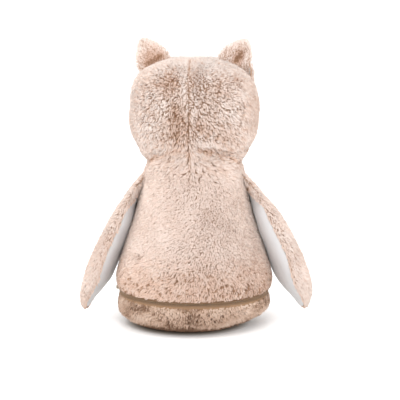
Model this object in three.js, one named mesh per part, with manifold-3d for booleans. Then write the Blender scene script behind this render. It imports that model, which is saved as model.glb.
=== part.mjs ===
// Plush owl on a zipped base. Lengths are in millimetres, +Z is up and the owl faces -Y.
// The origin is the middle of the flat sole that the owl stands on.
import * as THREE from 'three';
import { mergeVertices } from 'three/addons/utils/BufferGeometryUtils.js';
import Module from 'manifold-3d';

const wasm = await Module();
wasm.setup();

// Cloth, and the gaps between pieces
const pileWall = 8;            // plush: backing cloth with its pile
const napWall = 3.2;           // smooth short-nap cloth
const seamGap = 0.3;           // between two pieces that touch
const neckGap = 0.3;           // between the head and the neck that it nods on
const hingeGap = 0.6;          // round a wing root or an ear root
const cutOverrun = 60;         // how far a cutting solid runs past what it cuts

// Base cup
const baseRadius = 104.5;
const baseHeight = 30;         // of its widest ring
const soleRounding = 24.5;     // the flat sole ends this far inside the widest ring
const soleRadius = baseRadius - soleRounding;

// Body: the pear shape over the round base
const bellySwell = 1.5;        // the belly stands this far outside the base
const bellyRadius = baseRadius + bellySwell;
const bellyHeight = 62;
const shoulderHalfWidth = 75;
const shoulderHeight = 186;
const neckHalfWidth = 64;
const creaseHeight = 222;      // the neck crease, at the sides
const neckDepthShare = 0.86;   // depth over width at the neck
const frontSeamDepth = 35;     // the side seams lie this far in front of the middle
const backSeamShift = 4;       // the centre-back seam lies a little to the owl's left

// Points of the body's outline between its named sizes: shares of the way out and of the way up
const soleShares = [[0.5, 0.17], [0.88, 0.55]];
const flankShares = [[0.113, 0.18], [0.5, 0.51], [0.774, 0.77]];
const shoulderShares = [[0.45, 0.5]];
const throatShares = [[0.94, 1.08], [0.84, 1.24]]; // inside the head: of the neck's width and height

// Zip round the back of the base
const zipInset = 1.5;          // the plush draws in this far beside the zip
const zipRadius = baseRadius - zipInset;
const zipHeight = 46;
const zipBand = 8;             // bare height between the two rims
const foldDepth = 6;           // the base folds open along this line behind the middle
const zipTail = 24;            // the upper tape runs this far forward of the fold
const tapeWall = 0.8;
const tapeInset = 3.6;         // the tape's outer face lies this far inside the plush
const tapeRadius = zipRadius - tapeInset;
const tapeHidden = 9;          // width of tape sewn behind each rim
const coilWall = 1.8;
const coilWidth = 2;
const coilSplit = 1.8;         // between the two coils, where the slider's post runs
const stopLength = 2.4;
const stopWidth = 3.4;
const sliderLength = 9;
const sliderWidth = 7;
const sliderPlate = 1.2;
const sliderPost = 1.1;
const sliderPostLength = 3;
const sliderShares = [[-1, 0.72], [-0.6, 0.9], [0.5, 1], [1, 0.8]]; // of half its length and width
const sliderLead = 12;         // the parked slider's middle lies this far forward of the fold
const lugLength = 3;
const lugWall = 1;
const pinRadius = 0.6;
const knuckleRadius = 1.9;
const knuckleWidth = 2.4;
const pullerLength = 18;
const pullerWidth = 4.8;
const pullerWall = 1.4;
const pullerHole = 1.2;        // radius of the hole at the puller's free end

// Head
const headHalfWidth = 88.5;
const headHalfDepth = 76;
const headLift = 63;           // its widest ring lies this far above the neck crease
const headHeight = creaseHeight + headLift;
const crownRise = 80;
const jawDrop = 85.6;
const crownPower = 2.9;        // squareness above the widest ring
const jawPower = 2.2;          // and below it
const planPower = 2.2;         // and seen from above
const faceSeamDepth = 18;
const nodDrop = 22;            // the ball that the head nods on has its centre this far below the crease
const nodHeight = creaseHeight - nodDrop;

// Wings: a padded leaf, flat inside and crowned outside. It hangs a little out from the flank.
const wingRootOut = 1;         // the hinge line lies this far outside the shoulder
const wingRootUp = 11;         // and this far above it
const wingRoot = [shoulderHalfWidth + wingRootOut, 0, shoulderHeight + wingRootUp];
const wingRootRadius = 6;
const wingLength = 200;
const wingFlare = THREE.MathUtils.degToRad(7.46);
const wingSpread = wingFlare + Math.atan2(bellyRadius - shoulderHalfWidth, shoulderHeight - bellyHeight);
const wingTurn = { left: THREE.MathUtils.degToRad(9), right: THREE.MathUtils.degToRad(17) };
const wingHalfWidth = 41;
const wingThickness = 24;
const wingPower = 2.6;
const liningInset = 2.5;       // the plush edge shows this wide round the lining
const liningStart = 1.2;       // the lining begins this far above the hinge line

// Shares of the wing's length, of its half width and of its thickness, root first
const wingShares = [
  [0, 0.55, 0.5], [0.07, 0.61, 0.5], [0.18, 0.72, 0.65], [0.32, 0.85, 0.85], [0.48, 0.95, 0.97],
  [0.66, 1, 1], [0.8, 0.9, 0.95], [0.9, 0.68, 0.75], [0.96, 0.44, 0.5], [0.99, 0.22, 0.3],
];
const wingRootHalf = wingShares[0][1] * wingHalfWidth;

// Ears
const earOutShare = 0.616;     // of the head's half width
const earUpShare = 0.906;      // of the crown's rise
const earBack = 2;
const earRoot = [headHalfWidth * earOutShare, earBack, headHeight + crownRise * earUpShare];
const earTilt = THREE.MathUtils.degToRad(29);
const earHalfWidth = 25;
const earRise = 36;
const earRootRadius = 6;
const earCup = 7;              // how far the ear's edges bend forward
const earPower = 2.3;
const earGap = 0.7;            // between the two bent layers of an ear

// Shares of the ear's rise, of its half width and of its root's thickness
const earShares = [
  [0, 1, 1], [0.2, 0.95, 1], [0.45, 0.76, 0.96], [0.7, 0.5, 0.85], [0.88, 0.3, 0.66], [0.97, 0.15, 0.4],
];

// The round behind the hinge line of a wing or an ear: shares of its radius
const rootShares = [-0.95, -0.75, -0.4];

// Face
const discRadius = 27;
const discSpacing = 57;
const discLift = 6;            // the eyes lie this far above the head's widest ring
const discHeight = headHeight + discLift;
const discWall = 2;
const eyeRadius = 8.5;
const eyeRise = 5;
const eyeRim = 1;
const eyeShares = [0.3, 0.6, 0.85]; // rings of the dome, of the quarter turn up to its top
const shankRadius = 2.2;
const washerRadius = 8;
const washerWall = 1.6;
const beakHalfWidth = 10;
const beakHalfHeight = 15;
const beakDepth = 17;
const beakDrop = 17;           // the beak lies this far below the head's widest ring
const beakHeight = headHeight - beakDrop;
const beakTaper = 0.35;        // how much narrower its lower end is
const beakDroop = 3.75;        // its tip lies this far below its middle
const beakRounding = 0.8;

// Feet
const footHalfWidth = 25;
const footHalfLength = 33;
const footHalfHeight = 12;
const footLift = 11.5;         // middle of the foot above the floor
const footSpacing = 70;
const footTuck = 8.5;          // middle of the foot inside the base's widest ring
const footReach = baseRadius - footTuck;

// Fineness of the round shapes, in counts
const bodySides = 32;
const ballSides = 32;
const zipSides = 54;
const headSides = 30;
const wingSides = 14;
const earSides = 16;
const footSides = 14;
const smallSides = 12;
const bodySteps = 14;
const headSteps = 6;
const beakSteps = 5;

// Colours
const plush = new THREE.MeshStandardMaterial({ color: 0xdcc6b8, roughness: 1, metalness: 0 });
const basePlush = new THREE.MeshStandardMaterial({ color: 0xc3a68f, roughness: 1, metalness: 0 });
const white = new THREE.MeshStandardMaterial({ color: 0xeceaea, roughness: 0.85, metalness: 0 });
const zipCloth = new THREE.MeshStandardMaterial({ color: 0xa5886a, roughness: 0.8, metalness: 0 });
const zipCoil = new THREE.MeshStandardMaterial({ color: 0x8f7355, roughness: 0.5, metalness: 0 });
const zipMetal = new THREE.MeshStandardMaterial({ color: 0x8d7a63, roughness: 0.4, metalness: 0.8 });
const stuffing = new THREE.MeshStandardMaterial({ color: 0xf4f3f0, roughness: 1, metalness: 0 });
const blackPlastic = new THREE.MeshStandardMaterial({ color: 0x161412, roughness: 0.15, metalness: 0 });
const clearPlastic = new THREE.MeshStandardMaterial({ color: 0xdad8d0, roughness: 0.4, metalness: 0 });
const tanFelt = new THREE.MeshStandardMaterial({ color: 0xb58b62, roughness: 0.95, metalness: 0 });

// Meshes in and out of the solid modeller

function solid(geometry) {
  const bare = geometry.clone();
  bare.deleteAttribute('normal');
  bare.deleteAttribute('uv');
  const merged = mergeVertices(bare);
  const index = merged.index.array;
  return new wasm.Manifold(new wasm.Mesh({
    numProp: 3,
    vertProperties: new Float32Array(merged.attributes.position.array),
    triVerts: new Uint32Array(index),
  }));
}

function geometryOf(shape) {
  const mesh = shape.getMesh();
  const geometry = new THREE.BufferGeometry();
  geometry.setAttribute('position', new THREE.BufferAttribute(new Float32Array(mesh.vertProperties), 3));
  geometry.setIndex(new THREE.BufferAttribute(new Uint32Array(mesh.triVerts), 1));
  geometry.computeVertexNormals();
  return geometry;
}

// A geometry moved by a matrix; a mirrored one is turned right side out again
function placed(geometry, matrix) {
  const moved = geometry.clone().applyMatrix4(matrix);
  if (matrix.determinant() < 0) {
    const index = moved.index.array;
    for (let i = 0; i < index.length; i += 3) {
      [index[i], index[i + 1]] = [index[i + 1], index[i]];
    }
  }
  return moved;
}

// A closed solid through rings of points, each ring counter-clockwise seen from the last one.
// Each end closes on its pole, or straight across where no poles are given.
function loft(rings, poles) {
  const count = rings[0].length;
  const points = [...rings.flat(), ...(poles ?? [])];
  const first = rings.length * count;
  const last = first + 1;
  const top = (rings.length - 1) * count;
  const index = [];
  for (let j = 0; j < count; j += 1) {
    const k = (j + 1) % count;
    if (poles) {
      index.push(first, k, j, last, top + j, top + k);
    }
    for (let i = 0; i < rings.length - 1; i += 1) {
      const a = i * count + j;
      const b = i * count + k;
      index.push(a, b, b + count, a, b + count, a + count);
    }
  }
  for (let j = 0; j < count / 2 - 1 && !poles; j += 1) {
    const across = count - 1 - j;
    index.push(j, across - 1, j + 1, j, across, across - 1);
    index.push(top + j, top + j + 1, top + across - 1, top + j, top + across - 1, top + across);
  }
  const geometry = new THREE.BufferGeometry();
  geometry.setAttribute('position', new THREE.Float32BufferAttribute(points.flat(), 3));
  geometry.setIndex(index);
  return geometry;
}

// Point at an angle on an ellipse that a power squares off
function squared(angle, power) {
  const bend = (value) => Math.sign(value) * Math.abs(value) ** (2 / power);
  return [bend(Math.cos(angle)), bend(Math.sin(angle))];
}

// Rows are horizontal rings: half width, half depth and height. They are drawn in by a distance
// square to the surface, which shrinks the form evenly.
function drawnIn(rows, distance) {
  return rows.map((row, i) => {
    const under = rows[Math.max(i - 1, 0)];
    const over = rows[Math.min(i + 1, rows.length - 1)];
    const rise = over.z - under.z;
    const growth = over.wide - under.wide;
    const length = Math.hypot(rise, growth);
    return {
      wide: row.wide - distance * rise / length,
      deep: row.deep - distance * rise / length,
      z: row.z + distance * growth / length,
    };
  });
}

function rowSolid(rows, sides, power, lowPole, highPole) {
  const rings = rows.map((row) => Array.from({ length: sides }, (_, j) => {
    const [x, y] = squared(2 * Math.PI * j / sides, power);
    return [row.wide * x, row.deep * y, row.z];
  }));
  return solid(loft(rings, [[0, 0, lowPole], [0, 0, highPole]]));
}

// A box from its two corners
function block(low, high) {
  const size = high.map((value, i) => value - low[i]);
  const geometry = new THREE.BoxGeometry(...size);
  geometry.translate(...low.map((value, i) => value + size[i] / 2));
  return solid(geometry);
}

const reach = bellyRadius + cutOverrun;
const ceiling = headHeight + crownRise + earRise + cutOverrun;
const below = (z) => block([-reach, -reach, -cutOverrun], [reach, reach, z]);
const above = (z) => block([-reach, -reach, z], [reach, reach, ceiling]);
const behind = (y) => block([-reach, y, -cutOverrun], [reach, reach, ceiling]);
const before = (y) => block([-reach, -reach, -cutOverrun], [reach, y, ceiling]);
const leftOf = (x) => block([x, -reach, -cutOverrun], [reach, reach, ceiling]);
const rightOf = (x) => block([-reach, -reach, -cutOverrun], [x, reach, ceiling]);

// A ring round the owl's axis
function ringBand(inner, outer, low, high) {
  const profile = [[inner, low], [outer, low], [outer, high], [inner, high], [inner, low]];
  const geometry = new THREE.LatheGeometry(profile.map(([r, z]) => new THREE.Vector2(r, z)), zipSides);
  geometry.rotateX(Math.PI / 2);
  return solid(geometry);
}

// A round bar along a local axis, from one end to the other
function bar(radius, length, sides, matrix) {
  const geometry = new THREE.CylinderGeometry(radius, radius, length, sides);
  return solid(placed(geometry, matrix));
}

const group = new THREE.Group();

function add(name, shape, material) {
  const mesh = new THREE.Mesh(geometryOf(shape), material);
  mesh.name = name;
  group.add(mesh);
}

// Body form

const sole = new THREE.Vector2(soleRadius, 0);
const widest = new THREE.Vector2(baseRadius, baseHeight);
const belly = new THREE.Vector2(bellyRadius, bellyHeight);
const shoulder = new THREE.Vector2(shoulderHalfWidth, shoulderHeight);
const neck = new THREE.Vector2(neckHalfWidth, creaseHeight);

// Points on the way from one point of the outline to another
function onTheWay(from, to, shares) {
  return shares.map(([out, up]) => new THREE.Vector2(
    THREE.MathUtils.lerp(from.x, to.x, out), THREE.MathUtils.lerp(from.y, to.y, up)));
}

const bodyOutline = new THREE.SplineCurve([
  sole,
  ...onTheWay(sole, widest, soleShares),
  widest,
  new THREE.Vector2(zipRadius, zipHeight),
  belly,
  ...onTheWay(belly, shoulder, flankShares),
  shoulder,
  ...onTheWay(shoulder, neck, shoulderShares),
  neck,
  ...throatShares.map(([out, up]) => new THREE.Vector2(neck.x * out, neck.y * up)),
]);
const bodyRows = bodyOutline.getPoints(bodySteps).map((point) => {
  const toNeck = THREE.MathUtils.smoothstep(point.y, bellyHeight, creaseHeight);
  const depthShare = THREE.MathUtils.lerp(1, neckDepthShare, toNeck);
  return { wide: point.x, deep: point.x * depthShare, z: point.y };
});

function bodyForm(distance) {
  const rows = drawnIn(bodyRows, distance);
  return rowSolid(rows, bodySides, 2, rows[0].z, rows[rows.length - 1].z);
}

// The ball that the head nods on. Its facets lie inside the true ball, so the head's own cut is
// a little larger.
const nodRadius = Math.hypot(neckHalfWidth, creaseHeight - nodHeight);
function nodBall(radius) {
  const geometry = new THREE.SphereGeometry(radius, ballSides, ballSides / 2);
  geometry.rotateX(Math.PI / 2);
  geometry.translate(0, 0, nodHeight);
  return solid(geometry);
}
const neckSide = nodBall(nodRadius).add(below(creaseHeight));
const headHollow = nodBall((nodRadius + neckGap) / Math.cos(Math.PI / ballSides) ** 2);

const bodySkin = bodyForm(0).intersect(neckSide);
const bodyHollow = bodyForm(pileWall);

// Zip zone: bare between the rims, with room behind each rim for the tape and the slider
const upperRim = zipHeight + zipBand / 2;
const lowerRim = zipHeight - zipBand / 2;
const zipEnd = foldDepth - zipTail;
const rebateRadius = tapeRadius + seamGap;
const rebate = ringBand(bellyRadius / 2, rebateRadius, lowerRim - tapeHidden - seamGap,
  upperRim + tapeHidden + seamGap).intersect(behind(zipEnd - seamGap));
const bareBand = block([-reach, zipEnd - seamGap, lowerRim], [reach, reach, upperRim]);

// Wing root and ear root places

function frameMatrix(origin, x, y, z) {
  return new THREE.Matrix4().makeBasis(x, y, z).setPosition(...origin);
}

// Local x runs down the wing, y towards the owl's back and z out of its outer face
function wingMatrix(side, turn) {
  const down = new THREE.Vector3(side * Math.sin(wingSpread), 0, -Math.cos(wingSpread));
  const out = new THREE.Vector3(side * Math.cos(wingSpread), 0, Math.sin(wingSpread));
  const back = new THREE.Vector3(0, 1, 0);
  const rear = back.clone().multiplyScalar(Math.cos(turn)).addScaledVector(out, Math.sin(turn));
  const face = out.clone().multiplyScalar(Math.cos(turn)).addScaledVector(back, -Math.sin(turn));
  return frameMatrix([side * wingRoot[0], wingRoot[1], wingRoot[2]], down, rear, face);
}

// Local x runs up the ear's base line, y up the ear and z towards the owl's back
function earMatrix(side) {
  const inward = new THREE.Vector3(-side * Math.cos(earTilt), 0, Math.sin(earTilt));
  const rise = new THREE.Vector3(side * Math.sin(earTilt), 0, Math.cos(earTilt));
  const back = new THREE.Vector3(0, 1, 0);
  return frameMatrix([side * earRoot[0], earRoot[1], earRoot[2]], inward, rise, back);
}

const sides = [['left', 1], ['right', -1]];

// The rooms for the two wing roots, with a gap all round
function wingSeatsWith(gap) {
  const length = 2 * (wingRootHalf + gap);
  const [left, right] = sides.map(([name, side]) => (
    bar(wingRootRadius + gap, length, wingSides, wingMatrix(side, wingTurn[name]))));
  return left.add(right);
}

function earSeat(side) {
  const radius = earRootRadius + hingeGap;
  const length = 2 * (earHalfWidth + hingeGap);
  const turned = earMatrix(side).multiply(new THREE.Matrix4().makeRotationZ(Math.PI / 2));
  return bar(radius, length, earSides, turned);
}

const wingSeats = wingSeatsWith(hingeGap);
const earSeats = earSeat(1).add(earSeat(-1));

// Body cover

const backCover = bodySkin.subtract(bodyHollow).subtract(rebate).subtract(wingSeats)
  .intersect(above(upperRim)).intersect(behind(seamGap / 2 - frontSeamDepth));
const frontUpper = zipHeight + seamGap / 2;
const backPiece = backCover.subtract(block([-reach, -reach, -cutOverrun], [reach, zipEnd, frontUpper]));
add('body_back_left', backPiece.intersect(leftOf(backSeamShift + seamGap / 2)), plush);
add('body_back_right', backPiece.intersect(rightOf(backSeamShift - seamGap / 2)), plush);

const tummy = bodyForm(pileWall - napWall).subtract(bodyHollow).intersect(neckSide)
  .intersect(before(-frontSeamDepth - seamGap / 2)).intersect(above(upperRim));
add('tummy_panel', tummy, white);

// Base cup. Its front half rises to meet the cover where there is no zip.
const baseCup = bodySkin.subtract(bodyHollow).subtract(rebate).subtract(bareBand)
  .intersect(below(upperRim - seamGap));
add('base_front', baseCup.intersect(before(foldDepth - seamGap / 2)), basePlush);
add('base_back', baseCup.intersect(behind(foldDepth + seamGap / 2)), basePlush);

add('body_pod', bodyForm(pileWall + seamGap).intersect(neckSide), stuffing);

// Zip

const upperCoilLow = zipHeight + coilSplit / 2;
const lowerCoilHigh = zipHeight - coilSplit / 2;
const coilInner = tapeRadius + seamGap;
const coilOuter = coilInner + coilWall;
const stopFront = zipEnd + stopLength;
const flapEdge = foldDepth + seamGap / 2;

const upperTape = ringBand(tapeRadius - tapeWall, tapeRadius, upperCoilLow, upperRim + tapeHidden);
add('zip_tape_upper', upperTape.intersect(behind(zipEnd)), zipCloth);
const lowerTape = ringBand(tapeRadius - tapeWall, tapeRadius, lowerRim - tapeHidden, lowerCoilHigh);
add('zip_tape_lower', lowerTape.intersect(behind(flapEdge)), zipCloth);
const upperCoil = ringBand(coilInner, coilOuter, upperCoilLow, upperCoilLow + coilWidth);
add('zip_coil_upper', upperCoil.intersect(behind(stopFront + seamGap)), zipCoil);
const lowerCoil = ringBand(coilInner, coilOuter, lowerCoilHigh - coilWidth, lowerCoilHigh);
add('zip_coil_lower', lowerCoil.intersect(behind(flapEdge)), zipCoil);

// Each stop is clamped over the end of the upper tape
const stopRing = ringBand(coilInner, coilOuter, upperCoilLow, upperCoilLow + stopWidth - seamGap);
const stopZone = stopRing.intersect(behind(zipEnd)).intersect(before(stopFront));
add('zip_stop_left', stopZone.intersect(leftOf(0)), zipMetal);
add('zip_stop_right', stopZone.intersect(rightOf(0)), zipMetal);

// Slider and puller, built at the ring's outer side and turned to where they are parked.
// Local x points out of the ring, y along it towards the back, z up.
const parkAngle = Math.asin((foldDepth - sliderLead) / coilOuter);
const parked = new THREE.Matrix4().makeRotationZ(parkAngle);

function sliderPlateSolid(from, to) {
  const side = (sign) => sliderShares.map(([along, across]) => (
    new THREE.Vector2(along * sliderLength / 2, sign * across * sliderWidth / 2)));
  const shape = new THREE.Shape([...side(-1), ...side(1).reverse()]);
  const geometry = new THREE.ExtrudeGeometry(shape, { depth: to - from, bevelEnabled: false });
  const stand = new THREE.Matrix4().makeBasis(
    new THREE.Vector3(0, 1, 0), new THREE.Vector3(0, 0, 1), new THREE.Vector3(1, 0, 0));
  return solid(geometry.applyMatrix4(stand.setPosition(from, 0, zipHeight)));
}

const innerFace = tapeRadius - tapeWall - seamGap;
const outerFace = coilOuter + seamGap;
const plateTop = outerFace + sliderPlate;
const pinReach = plateTop + seamGap + knuckleRadius;
const lugInner = zipHeight + knuckleWidth / 2 + seamGap;
const zipUp = (height) => new THREE.Matrix4().makeRotationX(Math.PI / 2).setPosition(pinReach, 0, height);

function sliderSolid() {
  const inner = sliderPlateSolid(innerFace - sliderPlate, innerFace);
  const outer = sliderPlateSolid(outerFace, plateTop);
  const post = block([innerFace - sliderPlate / 2, -sliderPostLength / 2, zipHeight - sliderPost / 2],
    [plateTop - sliderPlate / 2, sliderPostLength / 2, zipHeight + sliderPost / 2]);
  const lug = (low) => block([plateTop - sliderPlate / 2, -lugLength / 2, low],
    [pinReach + pinRadius + lugWall, lugLength / 2, low + lugWall]);
  const pin = bar(pinRadius, 2 * lugInner - 2 * zipHeight + lugWall, smallSides, zipUp(zipHeight));
  return inner.add(outer).add(post).add(lug(lugInner)).add(lug(2 * zipHeight - lugInner - lugWall)).add(pin);
}

function pullerSolid() {
  const knuckle = bar(knuckleRadius, knuckleWidth, smallSides, zipUp(zipHeight));
  const hole = bar(pinRadius + seamGap, sliderWidth, smallSides, zipUp(zipHeight));
  const stemEnd = -lugLength / 2 - pinRadius - seamGap;
  const stem = block([pinReach - pullerWall / 2, stemEnd - pullerWall, zipHeight - knuckleWidth / 2],
    [pinReach + pullerWall / 2, 0, zipHeight + knuckleWidth / 2]);
  const tab = block([pinReach - pullerWall / 2, -pullerLength, zipHeight - pullerWidth / 2],
    [pinReach + pullerWall / 2, stemEnd, zipHeight + pullerWidth / 2]);
  const holeCentre = new THREE.Matrix4().makeRotationZ(Math.PI / 2)
    .setPosition(pinReach, 2 * pullerHole - pullerLength, zipHeight);
  const endHole = bar(pullerHole, 2 * pullerWall, smallSides, holeCentre);
  return knuckle.add(stem).add(tab).subtract(hole).subtract(endHole);
}

const turnedToPark = (shape) => solid(placed(geometryOf(shape), parked));
add('zip_slider', turnedToPark(sliderSolid()), zipMetal);
add('zip_puller', turnedToPark(pullerSolid()), zipMetal);

// Head form: a squared-off ellipsoid, with its own curve above and below the widest ring

const headRows = [];
for (let i = -headSteps + 0.5; i < headSteps; i += 1) {
  const angle = (i / headSteps) * Math.PI / 2;
  const power = i > 0 ? crownPower : jawPower;
  const [narrowing, height] = squared(angle, power);
  headRows.push({
    wide: headHalfWidth * narrowing,
    deep: headHalfDepth * narrowing,
    z: headHeight + height * (i > 0 ? crownRise : jawDrop),
  });
}

function headForm(distance) {
  return rowSolid(drawnIn(headRows, distance), headSides, planPower,
    headHeight - jawDrop + distance, headHeight + crownRise - distance);
}

const headHollowed = headForm(pileWall);
const headCover = headForm(0).subtract(headHollowed).subtract(headHollow);
const headBack = headCover.intersect(behind(seamGap / 2 - faceSeamDepth)).subtract(earSeats);
add('head_back_left', headBack.intersect(leftOf(backSeamShift + seamGap / 2)), plush);
add('head_back_right', headBack.intersect(rightOf(backSeamShift - seamGap / 2)), plush);

// Where the face's surface lies at a place across and up, and which way it looks
function faceSpot(x, z) {
  const across = Math.abs(x / headHalfWidth) ** planPower;
  const power = z > headHeight ? crownPower : jawPower;
  const rise = z > headHeight ? crownRise : jawDrop;
  const up = (z - headHeight) / rise;
  const narrowing = (1 - Math.abs(up) ** power) ** (1 / power);
  const wide = headHalfWidth * narrowing;
  const depth = (1 - Math.abs(x / wide) ** planPower) ** (1 / planPower) * headHalfDepth * narrowing;
  const normal = new THREE.Vector3(
    Math.sign(x) * across / Math.max(Math.abs(x), seamGap), -1 / headHalfDepth, up / rise).normalize();
  return { point: new THREE.Vector3(x, -depth, z), normal };
}

// Local y runs along the eye's shank, out of the face
function eyeMatrix(side, depth) {
  const { point, normal } = faceSpot(side * discSpacing / 2, discHeight);
  const turn = new THREE.Quaternion().setFromUnitVectors(new THREE.Vector3(0, 1, 0), normal);
  const place = point.clone().addScaledVector(normal, depth);
  return new THREE.Matrix4().makeRotationFromQuaternion(turn).setPosition(place);
}

function turnedProfile(points, matrix) {
  const profile = points.map(([r, y]) => new THREE.Vector2(r, y));
  return solid(new THREE.LatheGeometry(profile, smallSides).applyMatrix4(matrix));
}

const eyeLift = discWall + 2 * seamGap;
const shankLength = pileWall + eyeLift + washerWall + 2 * seamGap;

function eyeSolid(side) {
  const dome = eyeShares.map((share) => [
    eyeRadius * Math.cos(share * Math.PI / 2), eyeRim + (eyeRise - eyeRim) * Math.sin(share * Math.PI / 2)]);
  return turnedProfile([[0, -shankLength], [shankRadius, -shankLength], [shankRadius, 0], [eyeRadius, 0],
    [eyeRadius, eyeRim], ...dome, [0, eyeRise]], eyeMatrix(side, eyeLift + seamGap));
}

function washerSolid(side) {
  const inner = shankRadius + seamGap;
  return turnedProfile([[inner, 0], [washerRadius, 0], [washerRadius, washerWall], [inner, washerWall],
    [inner, 0]], eyeMatrix(side, -pileWall - seamGap - washerWall));
}

// The hole for the shank, and the pocket that the washer presses into the stuffing
function shankHole(side) {
  return bar(shankRadius + seamGap, cutOverrun, smallSides, eyeMatrix(side, 0));
}
function washerPocket(side) {
  const middle = -pileWall - seamGap - washerWall / 2;
  return bar(washerRadius + seamGap, washerWall + 2 * seamGap, smallSides, eyeMatrix(side, middle));
}

// Beak: a stuffed drop that narrows downwards, fixed to the face
function beakSolid(grow) {
  const rings = [];
  for (let i = 0; i < beakSteps; i += 1) {
    const angle = (i / beakSteps) * Math.PI / 2;
    const narrowing = Math.cos(angle) ** beakRounding;
    rings.push(Array.from({ length: smallSides }, (_, j) => {
      const [x, z] = squared(2 * Math.PI * j / smallSides, 2);
      const taper = z > 0 ? 1 : 1 + z * beakTaper;
      return [(beakHalfWidth + grow) * narrowing * x * taper,
        (beakHalfHeight + grow) * narrowing * z - beakDroop * Math.sin(angle),
        beakDepth * Math.sin(angle)];
    }));
  }
  const base = rings[0].map(([x, z]) => [x, z, -beakDepth]);
  const geometry = loft([base, ...rings], [[0, 0, -beakDepth], [0, -beakDroop, beakDepth + grow]]);
  const { point } = faceSpot(0, beakHeight);
  return solid(placed(geometry, frameMatrix([0, point.y, beakHeight], new THREE.Vector3(1, 0, 0),
    new THREE.Vector3(0, 0, 1), new THREE.Vector3(0, -1, 0))));
}

let facePanel = headCover.intersect(before(-faceSeamDepth - seamGap / 2));
let headPod = headForm(pileWall + seamGap).subtract(headHollow);
const discSheet = headForm(-seamGap - discWall).subtract(headForm(-seamGap))
  .intersect(before(-faceSeamDepth)).subtract(beakSolid(seamGap));
for (const [name, side] of sides) {
  const across = new THREE.Matrix4().setPosition(side * discSpacing / 2, -headHalfDepth, discHeight);
  const disc = bar(discRadius, headHalfDepth, smallSides * 2, across);
  add(`face_disc_${name}`, discSheet.intersect(disc).subtract(shankHole(side)), white);
  facePanel = facePanel.subtract(shankHole(side)).subtract(washerPocket(side));
  headPod = headPod.subtract(shankHole(side)).subtract(washerPocket(side));
  add(`eye_${name}`, eyeSolid(side), blackPlastic);
  add(`eye_washer_${name}`, washerSolid(side), clearPlastic);
}
add('face_panel', facePanel, plush);
add('head_pod', headPod, stuffing);
add('beak', beakSolid(0).subtract(headForm(-seamGap)), tanFelt);

// Wings

// A rounded root about the hinge line, as stations along a leaf's local x
function rootStations(radius, half) {
  return rootShares.map((share) => ({
    along: share * radius, half,
    bottom: -Math.sqrt(1 - share * share) * radius, top: Math.sqrt(1 - share * share) * radius,
  }));
}

function leafSolid(stations, tip, sideCount, power) {
  const rings = stations.map(({ along, half, bottom, top }) => Array.from({ length: sideCount }, (_, j) => {
    const [y, z] = squared(2 * Math.PI * j / sideCount, power);
    return [along, half * y, (top + bottom) / 2 + z * (top - bottom) / 2];
  }));
  const start = stations[0];
  const end = stations[stations.length - 1];
  return solid(loft(rings, [[start.along, 0, (start.top + start.bottom) / 2],
    [tip, 0, (end.top + end.bottom) / 2]]));
}

function wingOutside() {
  const blade = wingShares.map(([share, width, thickness]) => ({
    along: share * wingLength, half: width * wingHalfWidth,
    bottom: -wingRootRadius, top: thickness * wingThickness - wingRootRadius,
  }));
  return leafSolid([...rootStations(wingRootRadius, wingRootHalf), ...blade], wingLength, wingSides, wingPower);
}

// The room for the filling: the wall is drawn in from the edges and the crowned face
function wingInside(wall) {
  const stations = wingShares.slice(1, -1).map(([share, width, thickness]) => ({
    along: wall + share * (wingLength - 2 * wall), half: width * wingHalfWidth - wall,
    bottom: (napWall + wall - pileWall) / 2 - wingRootRadius,
    top: thickness * wingThickness - wingRootRadius - wall,
  }));
  return leafSolid(stations, wingLength - wall, wingSides, wingPower);
}

// The lining's outline, straight through the wing's flat face and as deep as the lining
function liningPrism(inset, depth) {
  const stations = [{ along: -liningStart, half: wingRootHalf },
    ...wingShares.map(([share, width]) => ({ along: share * wingLength, half: width * wingHalfWidth }))];
  const edge = stations.map(({ along, half }) => [
    inset + along * (1 - 2 * inset / wingLength), Math.max(half - inset, seamGap)]);
  const outline = [...edge.map(([x, y]) => new THREE.Vector2(x, -y)),
    ...edge.reverse().map(([x, y]) => new THREE.Vector2(x, y))];
  const geometry = new THREE.ExtrudeGeometry(new THREE.Shape(outline),
    { depth: depth + cutOverrun, bevelEnabled: false });
  geometry.translate(0, 0, -wingRootRadius - cutOverrun);
  return solid(geometry);
}

const wingLeaf = wingOutside();
const liningDepth = napWall + seamGap;
const overLining = block([-wingLength, -wingLength, liningDepth - wingRootRadius],
  [2 * wingLength, wingLength, wingLength]);
const wingParts = {
  wing_cover: [wingLeaf.subtract(liningPrism(liningInset, liningDepth)).subtract(wingInside(pileWall)), plush],
  wing_lining: [wingLeaf.intersect(liningPrism(liningInset + seamGap, napWall)), white],
  wing_fill: [wingInside(pileWall + seamGap).intersect(overLining), stuffing],
};

// Ears. The lining fills the front, up to this place before the ear's middle.
const earSplit = napWall - earRootRadius;

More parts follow.
